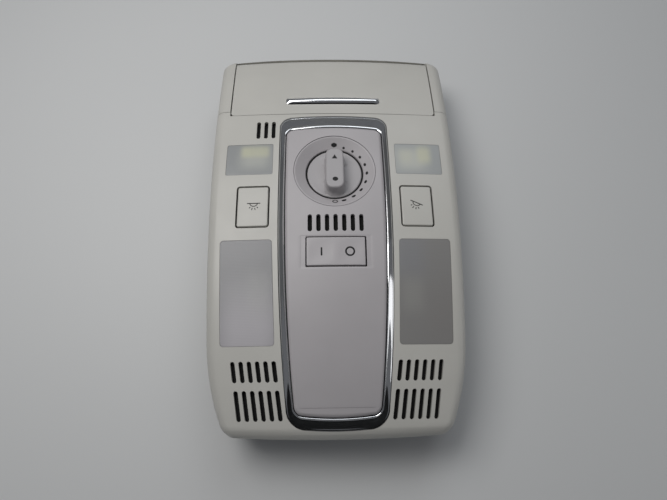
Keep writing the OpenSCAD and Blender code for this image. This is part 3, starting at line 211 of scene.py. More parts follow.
class Finish:
    """A material whose nodes are made as they are named."""

    def __init__(self, name, colour, roughness, metallic=0.0):
        self.material = bpy.data.materials.new(name)
        self.material.use_nodes = True
        self.tree = self.material.node_tree
        self.shader = self.tree.nodes["Principled BSDF"]
        self.set("Base Color", colour)
        self.set("Roughness", roughness)
        self.set("Metallic", metallic)

    def join(self, socket, value):
        if isinstance(value, Reading):
            self.tree.links.new(value.socket, socket)
        elif socket.type == "RGBA" and len(value) == 3:
            socket.default_value = (*value, 1)
        else:
            socket.default_value = value

    def node(self, kind, settings, inputs, output=0):
        made = self.tree.nodes.new("ShaderNode" + kind)
        for name, value in settings.items():
            setattr(made, name, value)
        for name, value in inputs.items():
            self.join(made.inputs[name], value)
        return Reading(self, made.outputs[output])

    def set(self, name, value):
        self.join(self.shader.inputs[name], value)

    def place(self):
        return self.node("TexCoord", {}, {}, "Object")

    def axis(self, letter):
        """Distance along X, Y or Z in millimetres."""
        return self.node("SeparateXYZ", {}, {0: self.place()}, letter) / MM

    def noise(self, size_mm, detail=2.0, roughness=0.5):
        """Cloudy noise from 0 to 1, with features of about this size."""
        return self.node("TexNoise", {}, {"Vector": self.place(), "Scale": 1 / (size_mm * MM),
                                          "Detail": detail, "Roughness": roughness})

    def ramp(self, value, low, high, from_value=0.0, to_value=1.0):
        return self.node("MapRange", {"interpolation_type": "SMOOTHSTEP"},
                         {"Value": value, "From Min": low, "From Max": high,
                          "To Min": from_value, "To Max": to_value})

    def blend(self, share, first, second):
        return self.node("Mix", {"data_type": "RGBA"}, {0: share, 6: first, 7: second}, 2)

    def bump(self, height, depth_mm):
        self.set("Normal", self.node("Bump", {}, {"Height": height, "Distance": depth_mm * MM,
                                                  "Strength": 1.0}))

# %% [markdown]
# The trim is moulded in a warm off-white plastic with a fine spark-eroded grain. Close up it is a
# cloud of tiny pits, from far away only a soft sheen. The colour drifts by a hair, as handling and
# sunlight leave it. The centre panel is the same plastic in a cooler, slightly pink grey, and the
# knob, a moulding of its own, came out a shade deeper.

# %% Plastics
def moulded_plastic(name, colour, roughness=0.42, grain_mm=0.35, depth_mm=0.02):
    finish = Finish(name, colour, roughness)
    cloud = finish.noise(45, detail=3)
    dark = tuple(c * 0.955 for c in colour)
    finish.set("Base Color", finish.blend(finish.ramp(cloud, 0.35, 0.7), colour, dark))
    finish.set("Roughness", finish.ramp(finish.noise(18), 0.3, 0.7, roughness - 0.03, roughness + 0.04))
    finish.bump(finish.noise(grain_mm, detail=2, roughness=0.6), depth_mm)
    return finish.material


TRIM = moulded_plastic("cream trim", (0.560, 0.552, 0.515))
PANEL = moulded_plastic("grey panel", (0.470, 0.450, 0.462))
KNOB_GREY = moulded_plastic("grey knob", (0.410, 0.396, 0.405))
BLACK = moulded_plastic("black plastic", (0.010, 0.010, 0.011), roughness=0.5)
MESH = moulded_plastic("black mesh", (0.004, 0.004, 0.004), roughness=0.9, grain_mm=0.8)
HOUSING = moulded_plastic("housing", (0.030, 0.031, 0.033), roughness=0.55, grain_mm=0.6)
REFLECTOR = moulded_plastic("reflector", (0.78, 0.78, 0.76), roughness=0.25, grain_mm=1.2, depth_mm=0.005)
print("plastics", [m.name for m in (TRIM, PANEL, KNOB_GREY, BLACK, MESH, HOUSING, REFLECTOR)])

# %% [markdown]
# Bright plating on moulded trim is a mirror, but not a perfect one: under it the plastic waves very
# slightly, and wiping leaves a faint haze. Both are kept small, since a long reflection shows them.

# %% Plating and steel
def plating(name, colour, roughness, wave_mm, haze):
    finish = Finish(name, colour, roughness, metallic=1.0)
    finish.set("Roughness", finish.ramp(finish.noise(9, detail=4), 0.35, 0.75, roughness, roughness + haze))
    finish.bump(finish.noise(wave_mm, detail=1), 0.012)
    return finish.material


CHROME = plating("bright plating", (0.80, 0.81, 0.83), 0.07, 14, 0.06)
STEEL = plating("zinc plated steel", (0.62, 0.62, 0.60), 0.30, 3, 0.12)

# %% [markdown]
# A lamp's cover is frosted from behind. The reflector and bulb show through it only as a soft glow, and
# that glow is painted light: pale patches painted into the cover's colour, at the place of the bulb, in
# soft-edged steps. Darker patches are painted shade. A second faint pattern of ribs gives the frosting its
# texture under a grazing light.

# %% Frosted covers
def frosted_cover(name, colour, painted_light_patches):
    """Patches of painted light and shade are (x, y, half width, half length, strength, tint), in
    millimetres.
    """
    finish = Finish(name, colour, 0.38)
    shade, x, y = colour, finish.axis("X"), finish.axis("Y")
    # Each patch blends the cover's colour towards its tint, as painted glow or painted shade.
    for px, py, half_w, half_l, strength, tint in painted_light_patches:
        across = finish.ramp(abs(x - px), half_w, half_w * 0.2)
        along = finish.ramp(abs(y - py), half_l, half_l * 0.2)
        shade = finish.blend(across * along * strength, shade, tint)
    finish.set("Base Color", shade)
    ribs = finish.node("Math", {"operation": "SINE"}, {0: y * (2 * math.pi / 0.9)})
    finish.bump(ribs * 0.5 + finish.noise(0.5), 0.015)
    finish.set("Coat Weight", 0.25)
    finish.set("Coat Roughness", 0.22)
    return finish.material


# %% [markdown]
# Inside, the boards are green with paler tracks, and the bulbs are clear glass. The printed marks are
# a matt black ink that lies a little unevenly.

# %% Boards, glass and print
def circuit_board(name):
    finish = Finish(name, (0.02, 0.12, 0.06), 0.35)
    tracks = finish.node("TexBrick", {"offset": 0.5}, {"Vector": finish.place(), "Scale": 110.0,
                         "Mortar Size": 0.03, "Color1": (0.02, 0.12, 0.06, 1),
                         "Color2": (0.018, 0.10, 0.05, 1), "Mortar": (0.05, 0.22, 0.10, 1)})
    finish.set("Base Color", tracks)
    return finish.material


def clear_glass(name):
    finish = Finish(name, (0.95, 0.95, 0.92), 0.04)
    finish.set("Transmission Weight", 0.9)
    finish.set("IOR", 1.45)
    finish.set("Base Color", finish.blend(finish.ramp(finish.noise(6), 0.4, 0.8),
                                          (0.95, 0.95, 0.92), (0.88, 0.88, 0.84)))
    return finish.material


def pad_print(name, colour):
    finish = Finish(name, colour, 0.7)
    paler = tuple(c + 0.01 for c in colour)
    finish.set("Base Color", finish.blend(finish.ramp(finish.noise(0.6), 0.45, 0.8), colour, paler))
    return finish.material


BOARD = circuit_board("circuit board")
GLASS = clear_glass("bulb glass")
PRINT = pad_print("black print", (0.005, 0.005, 0.006))

# %% [markdown]
# The show face is a crown, curved along its length and a little across it, and the centre panel has
# a crown of its own above it. Each piece is therefore made flat, where edges and openings are easy
# to cut and round, then sliced into a fine grid and let down onto its crown.

# %% The two crowns
FACE_TOP, CREST_Y, FACE_R, FACE_CROSS_R = 59.6, -8.3, 479.4, 900.0
PANEL_TOP, PANEL_R, PANEL_CROSS_R = 66.1, 360.7, 350.0
HALF_LEN, HALF_W, RIM_Z, WALL, RIM_R = 133.6, 80.5, 28.0, 2.5, 7.0
FLAP_Y, SEAM_Y, GAP = 75.5, 78.6, 0.4
END_BOW, SIDE_TAPER, CORNER_SWEEP, SWEEP_LEN = 2.2, 5.1, 9.0, 54.0
FAR_CORNER, NEAR_CORNER = 9.0, 7.5


def face_z(x, y):
    return FACE_TOP - (y - CREST_Y) ** 2 / (2 * FACE_R) - x ** 2 / (2 * FACE_CROSS_R)


def panel_z(x, y):
    return PANEL_TOP - (y - CREST_Y) ** 2 / (2 * PANEL_R) - x ** 2 / (2 * PANEL_CROSS_R)


def trim_half_w(y):
    taper = max(0.0, FLAP_Y - y) / (FLAP_Y + HALF_LEN)
    sweep = max(0.0, 1 - (y + HALF_LEN) / SWEEP_LEN)
    return HALF_W - SIDE_TAPER * taper ** 2 - CORNER_SWEEP * sweep ** 2


print("crown at the flap end", round(face_z(0, HALF_LEN), 1), "near end", round(face_z(0, -HALF_LEN), 1))

# %% [markdown]
# A few helpers do most of the modelling: blocks and cylinders, a test-driven bevel that rounds only
# the edges it is asked for, and a cut that runs Blender's exact boolean and hands back a bmesh.

# %% Blocks, rounded edges and cuts
def block(x0, x1, y0, y1, z0, z1):
    shape = bmesh.new()
    bmesh.ops.create_cube(shape, size=1)
    bmesh.ops.scale(shape, vec=(x1 - x0, y1 - y0, z1 - z0), verts=shape.verts)
    bmesh.ops.translate(shape, vec=((x0 + x1) / 2, (y0 + y1) / 2, (z0 + z1) / 2), verts=shape.verts)
    return shape


def upright(edge):
    a, b = (v.co for v in edge.verts)
    return (a - b).xy.length < 1e-4


def at_height(z):
    return lambda edge: all(abs(v.co.z - z) < 1e-3 for v in edge.verts)


def round_edges(shape, test, radius, segments):
    chosen = [e for e in shape.edges if test(e)]
    bmesh.ops.bevel(shape, geom=chosen, offset=radius, segments=segments, profile=0.5,
                    affect="EDGES", material=-1, clamp_overlap=True)


def rounded_block(cx, cy, width, length, z0, z1, corner, segments=6):
    shape = block(cx - width / 2, cx + width / 2, cy - length / 2, cy + length / 2, z0, z1)
    if corner:
        round_edges(shape, upright, corner, segments)
    return shape


def cylinder(segments, radius, z0, z1, x=0.0, y=0.0):
    shape = bmesh.new()
    bmesh.ops.create_cone(shape, cap_ends=True, segments=segments, radius1=radius, radius2=radius,
                          depth=z1 - z0, matrix=Matrix.Translation((x, y, (z0 + z1) / 2)))
    return shape


def joined(shapes):
    """One bmesh out of several, which are used up."""
    whole = bmesh.new()
    for shape in shapes:
        mesh = as_mesh(shape, "part")
        whole.from_mesh(mesh)
        bpy.data.meshes.remove(mesh)
    return whole


def cut(shape, tool, operation="DIFFERENCE"):
    body, knife = (placed("working", as_mesh(part, "working")) for part in (shape, tool))
    work = body.modifiers.new("cut", "BOOLEAN")
    work.object, work.operation, work.solver = knife, operation, "EXACT"
    done = body.evaluated_get(bpy.context.evaluated_depsgraph_get()).to_mesh()
    result = bmesh.new()
    result.from_mesh(done)
    for holder in (body, knife):
        mesh = holder.data
        bpy.data.objects.remove(holder)
        bpy.data.meshes.remove(mesh)
    return result


def slice_at(shape, axis, place):
    """Cuts every face that crosses this place along X, Y or Z, and keeps both sides."""
    at, normal = Vector((0, 0, 0)), Vector((0, 0, 0))
    at[axis], normal[axis] = place, 1
    everything = shape.verts[:] + shape.edges[:] + shape.faces[:]
    bmesh.ops.bisect_plane(shape, geom=everything, dist=1e-4, plane_co=at, plane_no=normal)


def slices(shape, step):
    """Cuts the shape along X and Y, so that it can bend."""
    for axis in (0, 1):
        places = [v.co[axis] for v in shape.verts]
        low, high = min(places), max(places)
        count = max(1, math.ceil((high - low) / step))
        for k in range(1, count):
            slice_at(shape, axis, low + (high - low) * k / count)
    return shape


def let_down(shape, surface, flat_top, foot=None, depth=RIM_R):
    """Drops the flat piece onto its crown. With a foot, what stands at that height stays there."""
    for v in shape.verts:
        share = 1.0 if foot is None else min(1.0, max(0.0, (v.co.z - foot) / (flat_top - depth - foot)))
        v.co.z -= share * (flat_top - surface(v.co.x, v.co.y))
    return shape


# %% [markdown]
# Every new piece ends in the same way. Its millimetres become metres, its faces are shaded smooth up to
# a sharp angle, and it gets its material, the body that carries it, and the solid it stands for.

# %% Finishing a piece
SHARP = math.radians(38)
stood_for = set()


def finished(shape, name, material, body, slot, *stands_for, smooth=SHARP):
    """Turns a bmesh in millimetres into a piece of the object."""
    bmesh.ops.scale(shape, vec=(MM, MM, MM), verts=shape.verts)
    mesh = as_mesh(shape, name)
    mesh.shade_smooth()
    mesh.set_sharp_from_angle(angle=smooth)
    mesh.materials.append(material)
    piece = placed(name, mesh)
    weigh = piece.modifiers.new("even shading", "WEIGHTED_NORMAL")
    weigh.keep_sharp, weigh.weight = True, 75
    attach(piece, body)
    if stands_for:
        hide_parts(*stands_for)
        stood_for.update(stands_for)
    print(f"{name}: {len(mesh.polygons)} faces")
    return piece

# %% [markdown]
# The trim is one moulding on the real console, split by a seam near the flap. Its side edges run
# straight, then sweep in to the near corners, and its rim rolls over on a 7 mm radius. A plain box
# with rounded corners, sliced and then pushed in by the width's formula, gives that outline.

# %% The trim's form
def shell_of(shape, thickness):
    """Opens the block's underside and gives the rest a wall, inwards."""
    lowest = min(v.co.z for v in shape.verts)
    floor_faces = [f for f in shape.faces if all(abs(v.co.z - lowest) < 1e-3 for v in f.verts)]
    bmesh.ops.delete(shape, geom=floor_faces, context="FACES")
    bmesh.ops.recalc_face_normals(shape, faces=shape.faces)
    bmesh.ops.solidify(shape, geom=shape.faces[:], thickness=thickness)
    return shape


def one_top_face(shape, z):
    """Joins the slices of the flat top again, which leaves its outline as it is."""
    flat = [f for f in shape.faces if all(abs(v.co.z - z) < 1e-3 for v in f.verts)]
    bmesh.ops.dissolve_faces(shape, faces=flat)


def bowed(x, y, half_w, half_l, bow, middle=0.0):
    """Place along the length once the ends bow out in the middle."""
    far = (y - middle) / half_l
    return y - math.copysign(bow * (x / half_w) ** 2 * abs(far) ** 4, far)


def trim_form():
    shape = block(-HALF_W, HALF_W, -HALF_LEN, HALF_LEN, RIM_Z, FACE_TOP)
    round_edges(shape, lambda e: upright(e) and e.verts[0].co.y > 0, FAR_CORNER, 8)
    round_edges(shape, lambda e: upright(e) and e.verts[0].co.y < 8 - HALF_LEN, NEAR_CORNER, 8)
    round_edges(shape, at_height(FACE_TOP), RIM_R, 8)
    slices(shape, 5.0)
    for v in shape.verts:
        x, y = v.co.x, v.co.y
        v.co.x = x * trim_half_w(y) / HALF_W
        v.co.y = bowed(x, y, HALF_W, HALF_LEN, END_BOW)
    one_top_face(shape, FACE_TOP)
    return shell_of(shape, WALL)


# %% [markdown]
# The openings are cut with one tool made of all their outlines: the flap's bay, the surround's
# window, four lamps, two buttons and the slots. Their upper edges are then rounded, as a moulding's
# always are, and that thin rounding catches the light and draws each opening.

# %% Openings in the trim
BUTTON = {"x": 51.5, "y": 4.7, "w": 19.6, "l": 27.1, "corner": 1.4}
READING = {"x": 54.9, "y": 38.8, "w": 30.1, "l": 22.8, "corner": 1.1}
COURTESY = {"x": 54.9, "y": -49.3, "w": 31.7, "l": 63.5, "corner": 2.0}
COURTESY_LEAN = 2.3
SLOT_W, SLOT_LOW, SLOT_HIGH = 2.6, 20.0, 90.0
BAY_HALF_W, PAST_SIDE, PAST_END = 70.3, 100, 200


def outline_block(place, side, grow, z0, z1, corner=None):
    radius = place["corner"] + grow if corner is None else corner
    return rounded_block(side * place["x"], place["y"], place["w"] + 2 * grow, place["l"] + 2 * grow,
                         z0, z1, radius)


def lean(shape, side):
    """Leans a courtesy lamp's outline in towards its near end."""
    far = COURTESY["y"] + COURTESY["l"] / 2
    for v in shape.verts:
        v.co.x -= side * COURTESY_LEAN * (far - v.co.y) / COURTESY["l"]
    return shape


def slot_block(x0, y0, x1, y1, width, low=SLOT_LOW, high=SLOT_HIGH):
    """A slot with round ends that leans from one point to another."""
    shape = rounded_block(0, 0, width, y1 - y0, low, high, width / 2 - 0.01, segments=7)
    for v in shape.verts:
        v.co.x += x0 + (x1 - x0) * (v.co.y / (y1 - y0) + 0.5)
        v.co.y += (y0 + y1) / 2
    return shape


GRILLE_ROWS = ((-HALF_LEN + 32.1, -HALF_LEN + 44.0), (-HALF_LEN + 10.8, -HALF_LEN + 27.7))
GRILLE_X, GRILLE_PITCH, GRILLE_LEAN, GRILLE_SLOTS = 35.8, 4.8, 0.13, 6


def grille_x(k, y):
    return GRILLE_X + SLOT_W / 2 + GRILLE_PITCH * k - GRILLE_LEAN * (GRILLE_ROWS[0][1] - y)


def grille_slots(side):
    return [slot_block(side * grille_x(k, y0), y0, side * grille_x(k, y1), y1, SLOT_W)
            for y0, y1 in GRILLE_ROWS for k in range(GRILLE_SLOTS)]


def straight_slots(middle_x, pitch, count, y, length):
    """A row of slots that don't lean."""
    xs = [middle_x + (k - (count - 1) / 2) * pitch for k in range(count)]
    return [slot_block(x, y - length / 2, x, y + length / 2, SLOT_W) for x in xs]


microphone_slots = straight_slots(middle_x=-45.0, pitch=5, count=3, y=61.9, length=13.8)
print("slots", 2 * len(GRILLE_ROWS) * GRILLE_SLOTS + len(microphone_slots))

# %% [markdown]
# The chrome surround and the panel share one outline at several distances: a long shape that tapers
# towards the near end, with rounded corners and slightly bowed ends. A function walks round it with
# the same number of steps at every distance, so that loops can be bridged step for step.

# %% The outline round the panel
PANEL_NEAR, PANEL_FAR, PANEL_HALF_W, PANEL_BOW = -121.3, 60.6, 31.0, 1.9
PANEL_TAPER, TAPER_POWER, STRAIGHT = 6.2, 2.2, 40
RING_NEAR, RING_FAR, RING_W, RING_NEAR_R, RING_FAR_R = -128.4, 72.7, 4.5, 10.5, 7.5


def panel_half(y):
    taper = max(0.0, PANEL_FAR - y - STRAIGHT) / (PANEL_FAR - PANEL_NEAR - STRAIGHT)
    return PANEL_HALF_W - PANEL_TAPER * taper ** TAPER_POWER


def walk_round(near, far, extra, near_r, far_r, end_steps=8, corner_steps=10, side_steps=64):
    w0, w1 = panel_half(near + near_r) + extra, panel_half(far - far_r) + extra
    right = [((w0 - near_r) * k / end_steps, near) for k in range(end_steps)]
    for k in range(corner_steps + 1):
        a = math.radians(-90 + 90 * k / corner_steps)
        right.append((w0 - near_r + near_r * math.cos(a), near + near_r + near_r * math.sin(a)))
    for k in range(1, side_steps):
        y = near + near_r + (far - far_r - near - near_r) * k / side_steps
        right.append((panel_half(y) + extra, y))
    for k in range(corner_steps + 1):
        a = math.radians(90 * k / corner_steps)
        right.append((w1 - far_r + far_r * math.cos(a), far - far_r + far_r * math.sin(a)))
    right += [((w1 - far_r) * (1 - k / end_steps), far) for k in range(1, end_steps + 1)]
    round_trip = right + [(-x, y) for x, y in reversed(right[1:-1])]
    middle, half_l = (near + far) / 2, (far - near) / 2
    return [(x, bowed(x, y, panel_half(y) + extra, half_l, PANEL_BOW, middle)) for x, y in round_trip]


def loop_of(shape, points, heights):
    """The edges of a closed loop through the points."""
    made = bmesh.ops.create_circle(shape, segments=len(points), radius=1)["verts"]
    for v, (x, y), z in zip(made, points, heights):
        v.co = (x, y, z)
    return [e for e in shape.edges if e.verts[0] in made and e.verts[1] in made]


def outline_prism(points, z0, z1):
    shape = bmesh.new()
    made = bmesh.ops.create_circle(shape, cap_ends=True, segments=len(points), radius=1)["verts"]
    for v, (x, y) in zip(made, points):
        v.co = (x, y, z0)
    up = bmesh.ops.extrude_face_region(shape, geom=shape.faces[:])["geom"]
    risen = [v for v in up if isinstance(v, bmesh.types.BMVert)]
    bmesh.ops.translate(shape, vec=(0, 0, z1 - z0), verts=risen)
    bmesh.ops.recalc_face_normals(shape, faces=shape.faces)
    return shape


window = outline_prism(walk_round(RING_NEAR - GAP, RING_FAR + GAP, RING_W + GAP, RING_NEAR_R + GAP,
                                  RING_FAR_R + GAP), SLOT_LOW, SLOT_HIGH)
print("window", len(window.verts), "points")

# %% [markdown]
# The bezel is the trim's form with all of that cut out of it. The slots and the bay get their rounded
# edges first and the lamp openings are cut last, because a lamp's cover lies flush in a fine edge.

# %% Bezel
BUTTON_GAP, COVER_GAP, FINE_STEP = 0.75, 0.12, 3.2


def open_edges():
    """Tools for the openings whose edges are rounded."""
    tools = [window, block(-BAY_HALF_W, BAY_HALF_W, FLAP_Y - GAP, PAST_END, SLOT_LOW, SLOT_HIGH),
             block(-PAST_SIDE, PAST_SIDE, SEAM_Y, PAST_END, SLOT_LOW, SLOT_HIGH)]
    for side in (-1, 1):
        tools.append(outline_block(BUTTON, side, BUTTON_GAP, SLOT_LOW, SLOT_HIGH))
        tools += grille_slots(side)
    return tools + microphone_slots


def flush_edges():
    """Tools for the lamp openings, whose covers lie flush in fine edges."""
    return [tool for side in (-1, 1)
            for tool in (outline_block(READING, side, COVER_GAP, SLOT_LOW, SLOT_HIGH),
                         lean(outline_block(COURTESY, side, COVER_GAP, SLOT_LOW, SLOT_HIGH), side))]


def new_rims(z):
    """Tests for an edge that a cut made, where the flat top meets an upright wall."""
    def test(edge):
        if not at_height(z)(edge) or len(edge.link_faces) != 2:
            return False
        return sorted(round(abs(f.normal.z)) for f in edge.link_faces) == [0, 1]
    return test


def crowned(shape):
    """Bends a piece of the trim to the crown, while the foot of its rim stays where it is."""
    return let_down(slices(shape, FINE_STEP), face_z, FACE_TOP, RIM_Z)


bezel = trim_form()
for tool in open_edges():
    bezel = cut(bezel, tool)
round_edges(bezel, new_rims(FACE_TOP), 0.45, 3)
for tool in flush_edges():
    bezel = cut(bezel, tool)
finished(crowned(bezel), "bezel_skin", TRIM, "console", "trim_plastic", "bezel")

# %% [markdown]
# Past the seam the trim carries on as two ears and a thin strip that closes the flap's bay. It is the
# same form, kept where a frame-shaped tool meets it, so the two mouldings run into each other flush.

# %% Front frame
STRIP_T, EAR_X, EAR_Y, EAR_WALL = 1.8, 70.5, SEAM_Y + 0.3, 1.8
ear_tool = cut(block(-PAST_SIDE, PAST_SIDE, EAR_Y, PAST_END, 0, SLOT_HIGH),
               block(-EAR_X, EAR_X, 0, HALF_LEN - STRIP_T - END_BOW * 0.35, -10, SLOT_HIGH + 10))
front_frame = cut(trim_form(), ear_tool, "INTERSECT")
wall_middle = EAR_X + EAR_WALL / 2
bay_walls = joined([block(side * wall_middle - EAR_WALL / 2, side * wall_middle + EAR_WALL / 2, EAR_Y,
                          HALF_LEN - 4, RIM_Z, FACE_TOP - RIM_R * 0.2) for side in (-1, 1)])
front_frame = cut(front_frame, bay_walls, "UNION")
round_edges(front_frame, new_rims(FACE_TOP), 0.4, 3)
finished(crowned(front_frame), "front_frame_skin", TRIM, "console", "trim_plastic", "front_frame")

# %% [markdown]
# The flap is a panel whose far edge rolls down round its hinge. Only its own rim is deep: the skin is
# opened underneath, where the bin is screwed to it, and seen when the flap stands open.

# %% Flap
FLAP_HALF_W, FLAP_FAR, FLAP_ROLL, FLAP_SKIN, FLAP_RIM = 69.65, 131.2, 7.0, 2.2, 3.2
FLAP_DEPTH, FLAP_CORNER, ROLL_Y, ROLL_DEEPER = 9, 2.4, 121.0, 3.6


def flap_rim(y):
    """Depth of the flap's rim: shallow along the sides, deeper where the far edge rolls down."""
    return FLAP_RIM + ROLL_DEEPER * max(0.0, (y - ROLL_Y) / (FLAP_FAR - ROLL_Y))


on_top = at_height(FACE_TOP)
flap = block(-FLAP_HALF_W, FLAP_HALF_W, FLAP_Y, FLAP_FAR, FACE_TOP - FLAP_DEPTH, FACE_TOP)
round_edges(flap, lambda e: upright(e) and e.verts[0].co.y < FLAP_Y + 1, FLAP_CORNER, 5)
round_edges(flap, lambda e: on_top(e) and all(v.co.y > FLAP_FAR - 0.01 for v in e.verts), FLAP_ROLL, 10)
round_edges(flap, lambda e: on_top(e) and len(e.link_faces) == 2 and e.calc_face_angle() > 1.2, 0.8, 4)
shell_of(slices(flap, FINE_STEP), FLAP_SKIN)
for v in flap.verts:
    v.co.z = max(v.co.z, FACE_TOP - flap_rim(v.co.y))
    v.co.y = bowed(v.co.x, v.co.y, HALF_W, HALF_LEN, END_BOW)
bmesh.ops.remove_doubles(flap, verts=flap.verts, dist=1e-4)
finished(let_down(flap, face_z, FACE_TOP), "flap_skin", TRIM, "bin", "trim_plastic", "bin_flap")

# %% [markdown]
# The finger strip is a plated bar, arched across and rounded off at its ends. The arch is part of a
# circle, whose radius follows from the bar's width and height.

# %% Finger strip
STRIP_Y, STRIP_HALF_L, STRIP_W, STRIP_H = FLAP_Y + 11.6, 32.3, 6.5, 1.8
STRIP_END, STRIP_BOW = 2.6, 0.8
strip = rounded_block(0, STRIP_Y, 2 * STRIP_HALF_L, STRIP_W, FACE_TOP - 0.3, FACE_TOP + STRIP_H, STRIP_END)
slices(strip, 1.6)
strip_r = (STRIP_W ** 2 / 4 + STRIP_H ** 2) / (2 * STRIP_H)
for v in strip.verts:
    across, along = v.co.y - STRIP_Y, STRIP_HALF_L - abs(v.co.x)
    if v.co.z > FACE_TOP:
        arch = math.sqrt(max(0.0, strip_r ** 2 - across ** 2)) - (strip_r - STRIP_H)
        v.co.z = FACE_TOP + arch * math.sqrt(1 - (1 - min(1.0, along / STRIP_END)) ** 2)
    v.co.y -= STRIP_BOW * (v.co.x / STRIP_HALF_L) ** 2 * (across > 0)
finished(let_down(strip, face_z, FACE_TOP), "finger_strip", CHROME, "bin", "chrome_trim", "flap_strip",
         smooth=math.radians(60))

# %% [markdown]
# The surround is a plated frame that slopes from a lip under the panel's edge down to the show face.
# Its section changes all the way round: wide at the flap end, narrow at the sides. So the section is
# given as shares of the way out and down, one closed loop is drawn for each of its points, and the
# loops are bridged in turn.

# %% Chrome surround
LIP_DROP, SKIRT = 1.6, 4.2
SECTION = ((0.0, 0.0, -SKIRT), (0.0, 0.0, -0.25), (0.03, 0.0, 0.0), (0.10, 0.0, 0.08), (0.14, 0.03, 0.04),
           (0.17, 0.18, 0.0), (0.20, 0.26, 0.0), (0.34, 0.38, 0.03), (0.50, 0.50, 0.06), (0.66, 0.62, 0.06),
           (0.80, 0.73, 0.03), (0.87, 0.79, 0.0), (0.90, 0.90, 0.02), (0.95, 0.98, 0.08), (1.0, 1.0, 0.04),
           (1.0, 1.0, -SKIRT), (0.86, 1.0, -SKIRT), (0.60, 0.75, -2.6), (0.2, 0.1, -2.0))
LIP_GAP, LIP_NEAR_R, LIP_FAR_R = GAP + 0.1, 5.5, 4.5
inner = walk_round(PANEL_NEAR - LIP_GAP, PANEL_FAR + LIP_GAP, LIP_GAP, LIP_NEAR_R, LIP_FAR_R)
outer = walk_round(RING_NEAR, RING_FAR, RING_W, RING_NEAR_R, RING_FAR_R)
surround, loops = bmesh.new(), []
for share, down, lift in SECTION:
    points, heights = [], []
    for (ix, iy), (ox, oy) in zip(inner, outer):
        x, y = ix + (ox - ix) * share, iy + (oy - iy) * share
        lip, face = panel_z(ix, iy) - LIP_DROP, face_z(ox, oy) + 0.05
        points.append((x, y))
        heights.append(lip + (face - lip) * down + lift)
    loops.append(loop_of(surround, points, heights))
for k, edges in enumerate(loops):
    bmesh.ops.bridge_loops(surround, edges=edges + loops[(k + 1) % len(loops)])
bmesh.ops.recalc_face_normals(surround, faces=surround.faces)
finished(surround, "surround_ring", CHROME, "console", "chrome_trim", "chrome_surround",
         smooth=math.radians(50))

# %% [markdown]
# The panel is made as the trim was: a flat block with a rolled edge, sliced, pushed to its outline,
# opened, and let down onto its crown. Two shallow forms are pressed into the same grid: a recess round
# the rocker, and past a crease near its end, a face that lies a fifth of a millimetre lower.

# %% Centre panel
PANEL_SKIN, PANEL_EDGE, PANEL_RIM, PANEL_CORNER = 2.2, 2.2, 7.0, 4.5
DIAL_Y, DIAL_R, DIAL_TILT = 27.1, 25.8, math.radians(5.6)
ROCKER_Y, ROCKER_L, ROCKER_W, ROCKER_GAP = -27.4, 35.4, 17.6, 0.55
RECESS_HALF_L, RECESS_HALF_W, STEP_W, STEP_DEPTH = ROCKER_L / 2 + 3.4, ROCKER_W / 2 + 0.9, 0.5, 0.20
CREASE_Y, CREASE_DIP, CREASE_W = -115.6, 0.26, 0.6


def eased(value):
    """Rises smoothly from 0 to 1."""
    share = min(1.0, max(0.0, value))
    return share * share * (3 - 2 * share)


def panel_dip(x, y):
    """Depth of the shallow recess round the rocker, and of the crease across the near end."""
    past_side = (abs(x) - RECESS_HALF_L) / STEP_W
    past_end = (abs(y - ROCKER_Y) - RECESS_HALF_W) / STEP_W
    recess = STEP_DEPTH * (1 - eased(max(past_side, past_end)))
    crease = CREASE_DIP * eased((CREASE_Y - y) / CREASE_W) * eased((PANEL_HALF_W - 6 - abs(x)) / 6)
    return recess + crease


panel_mid, panel_half_l = (PANEL_NEAR + PANEL_FAR) / 2, (PANEL_FAR - PANEL_NEAR) / 2
panel = rounded_block(0, panel_mid, 2 * PANEL_HALF_W, 2 * panel_half_l, PANEL_TOP - PANEL_RIM,
                      PANEL_TOP, PANEL_CORNER)
round_edges(panel, at_height(PANEL_TOP), PANEL_EDGE, 6)
slices(panel, 4.0)
for v in panel.verts:
    x, y = v.co.x, v.co.y
    v.co.x = x * panel_half(y) / PANEL_HALF_W
    v.co.y = bowed(v.co.x, y, panel_half(y), panel_half_l, PANEL_BOW, panel_mid)
one_top_face(panel, PANEL_TOP)
shell_of(panel, PANEL_SKIN)
dial_tool = cylinder(128, DIAL_R + 0.1, PANEL_TOP - 20, PANEL_TOP + 20, 0, DIAL_Y)
rocker_tool = rounded_block(0, ROCKER_Y, ROCKER_L + 2 * ROCKER_GAP, ROCKER_W + 2 * ROCKER_GAP,
                            SLOT_LOW, SLOT_HIGH, 0.6, segments=3)
vent_tools = straight_slots(middle_x=0, pitch=5.2, count=7, y=-9.4, length=10.9)
for tool in [dial_tool, rocker_tool] + vent_tools:
    panel = cut(panel, tool)
round_edges(panel, new_rims(PANEL_TOP), 0.35, 3)
slices(panel, 2.6)
for axis, middle, half in ((0, 0, RECESS_HALF_L), (1, ROCKER_Y, RECESS_HALF_W)):
    for offset in (-half - STEP_W, -half, half, half + STEP_W):
        slice_at(panel, axis, middle + offset)
for share in (0, 0.5, 1):
    slice_at(panel, 1, CREASE_Y - share * CREASE_W)
for v in panel.verts:
    v.co.z -= panel_dip(v.co.x, v.co.y)
finished(let_down(panel, panel_z, PANEL_TOP), "panel_skin", PANEL, "console", "panel_plastic",
         "centre_panel")

# %% [markdown]
# Round pieces are turned, as on a lathe: a profile is drawn once, in half, and spun about its axis.
# The dial stands on a crown, so its axis leans towards the flap, and everything on it is made
# upright and then leaned over by one matrix.

# %% Turning
DIAL_LEAN = Matrix.Translation((0, DIAL_Y, panel_z(0, DIAL_Y))) @ Matrix.Rotation(-DIAL_TILT, 4, "X")
TURN_STEPS = 128


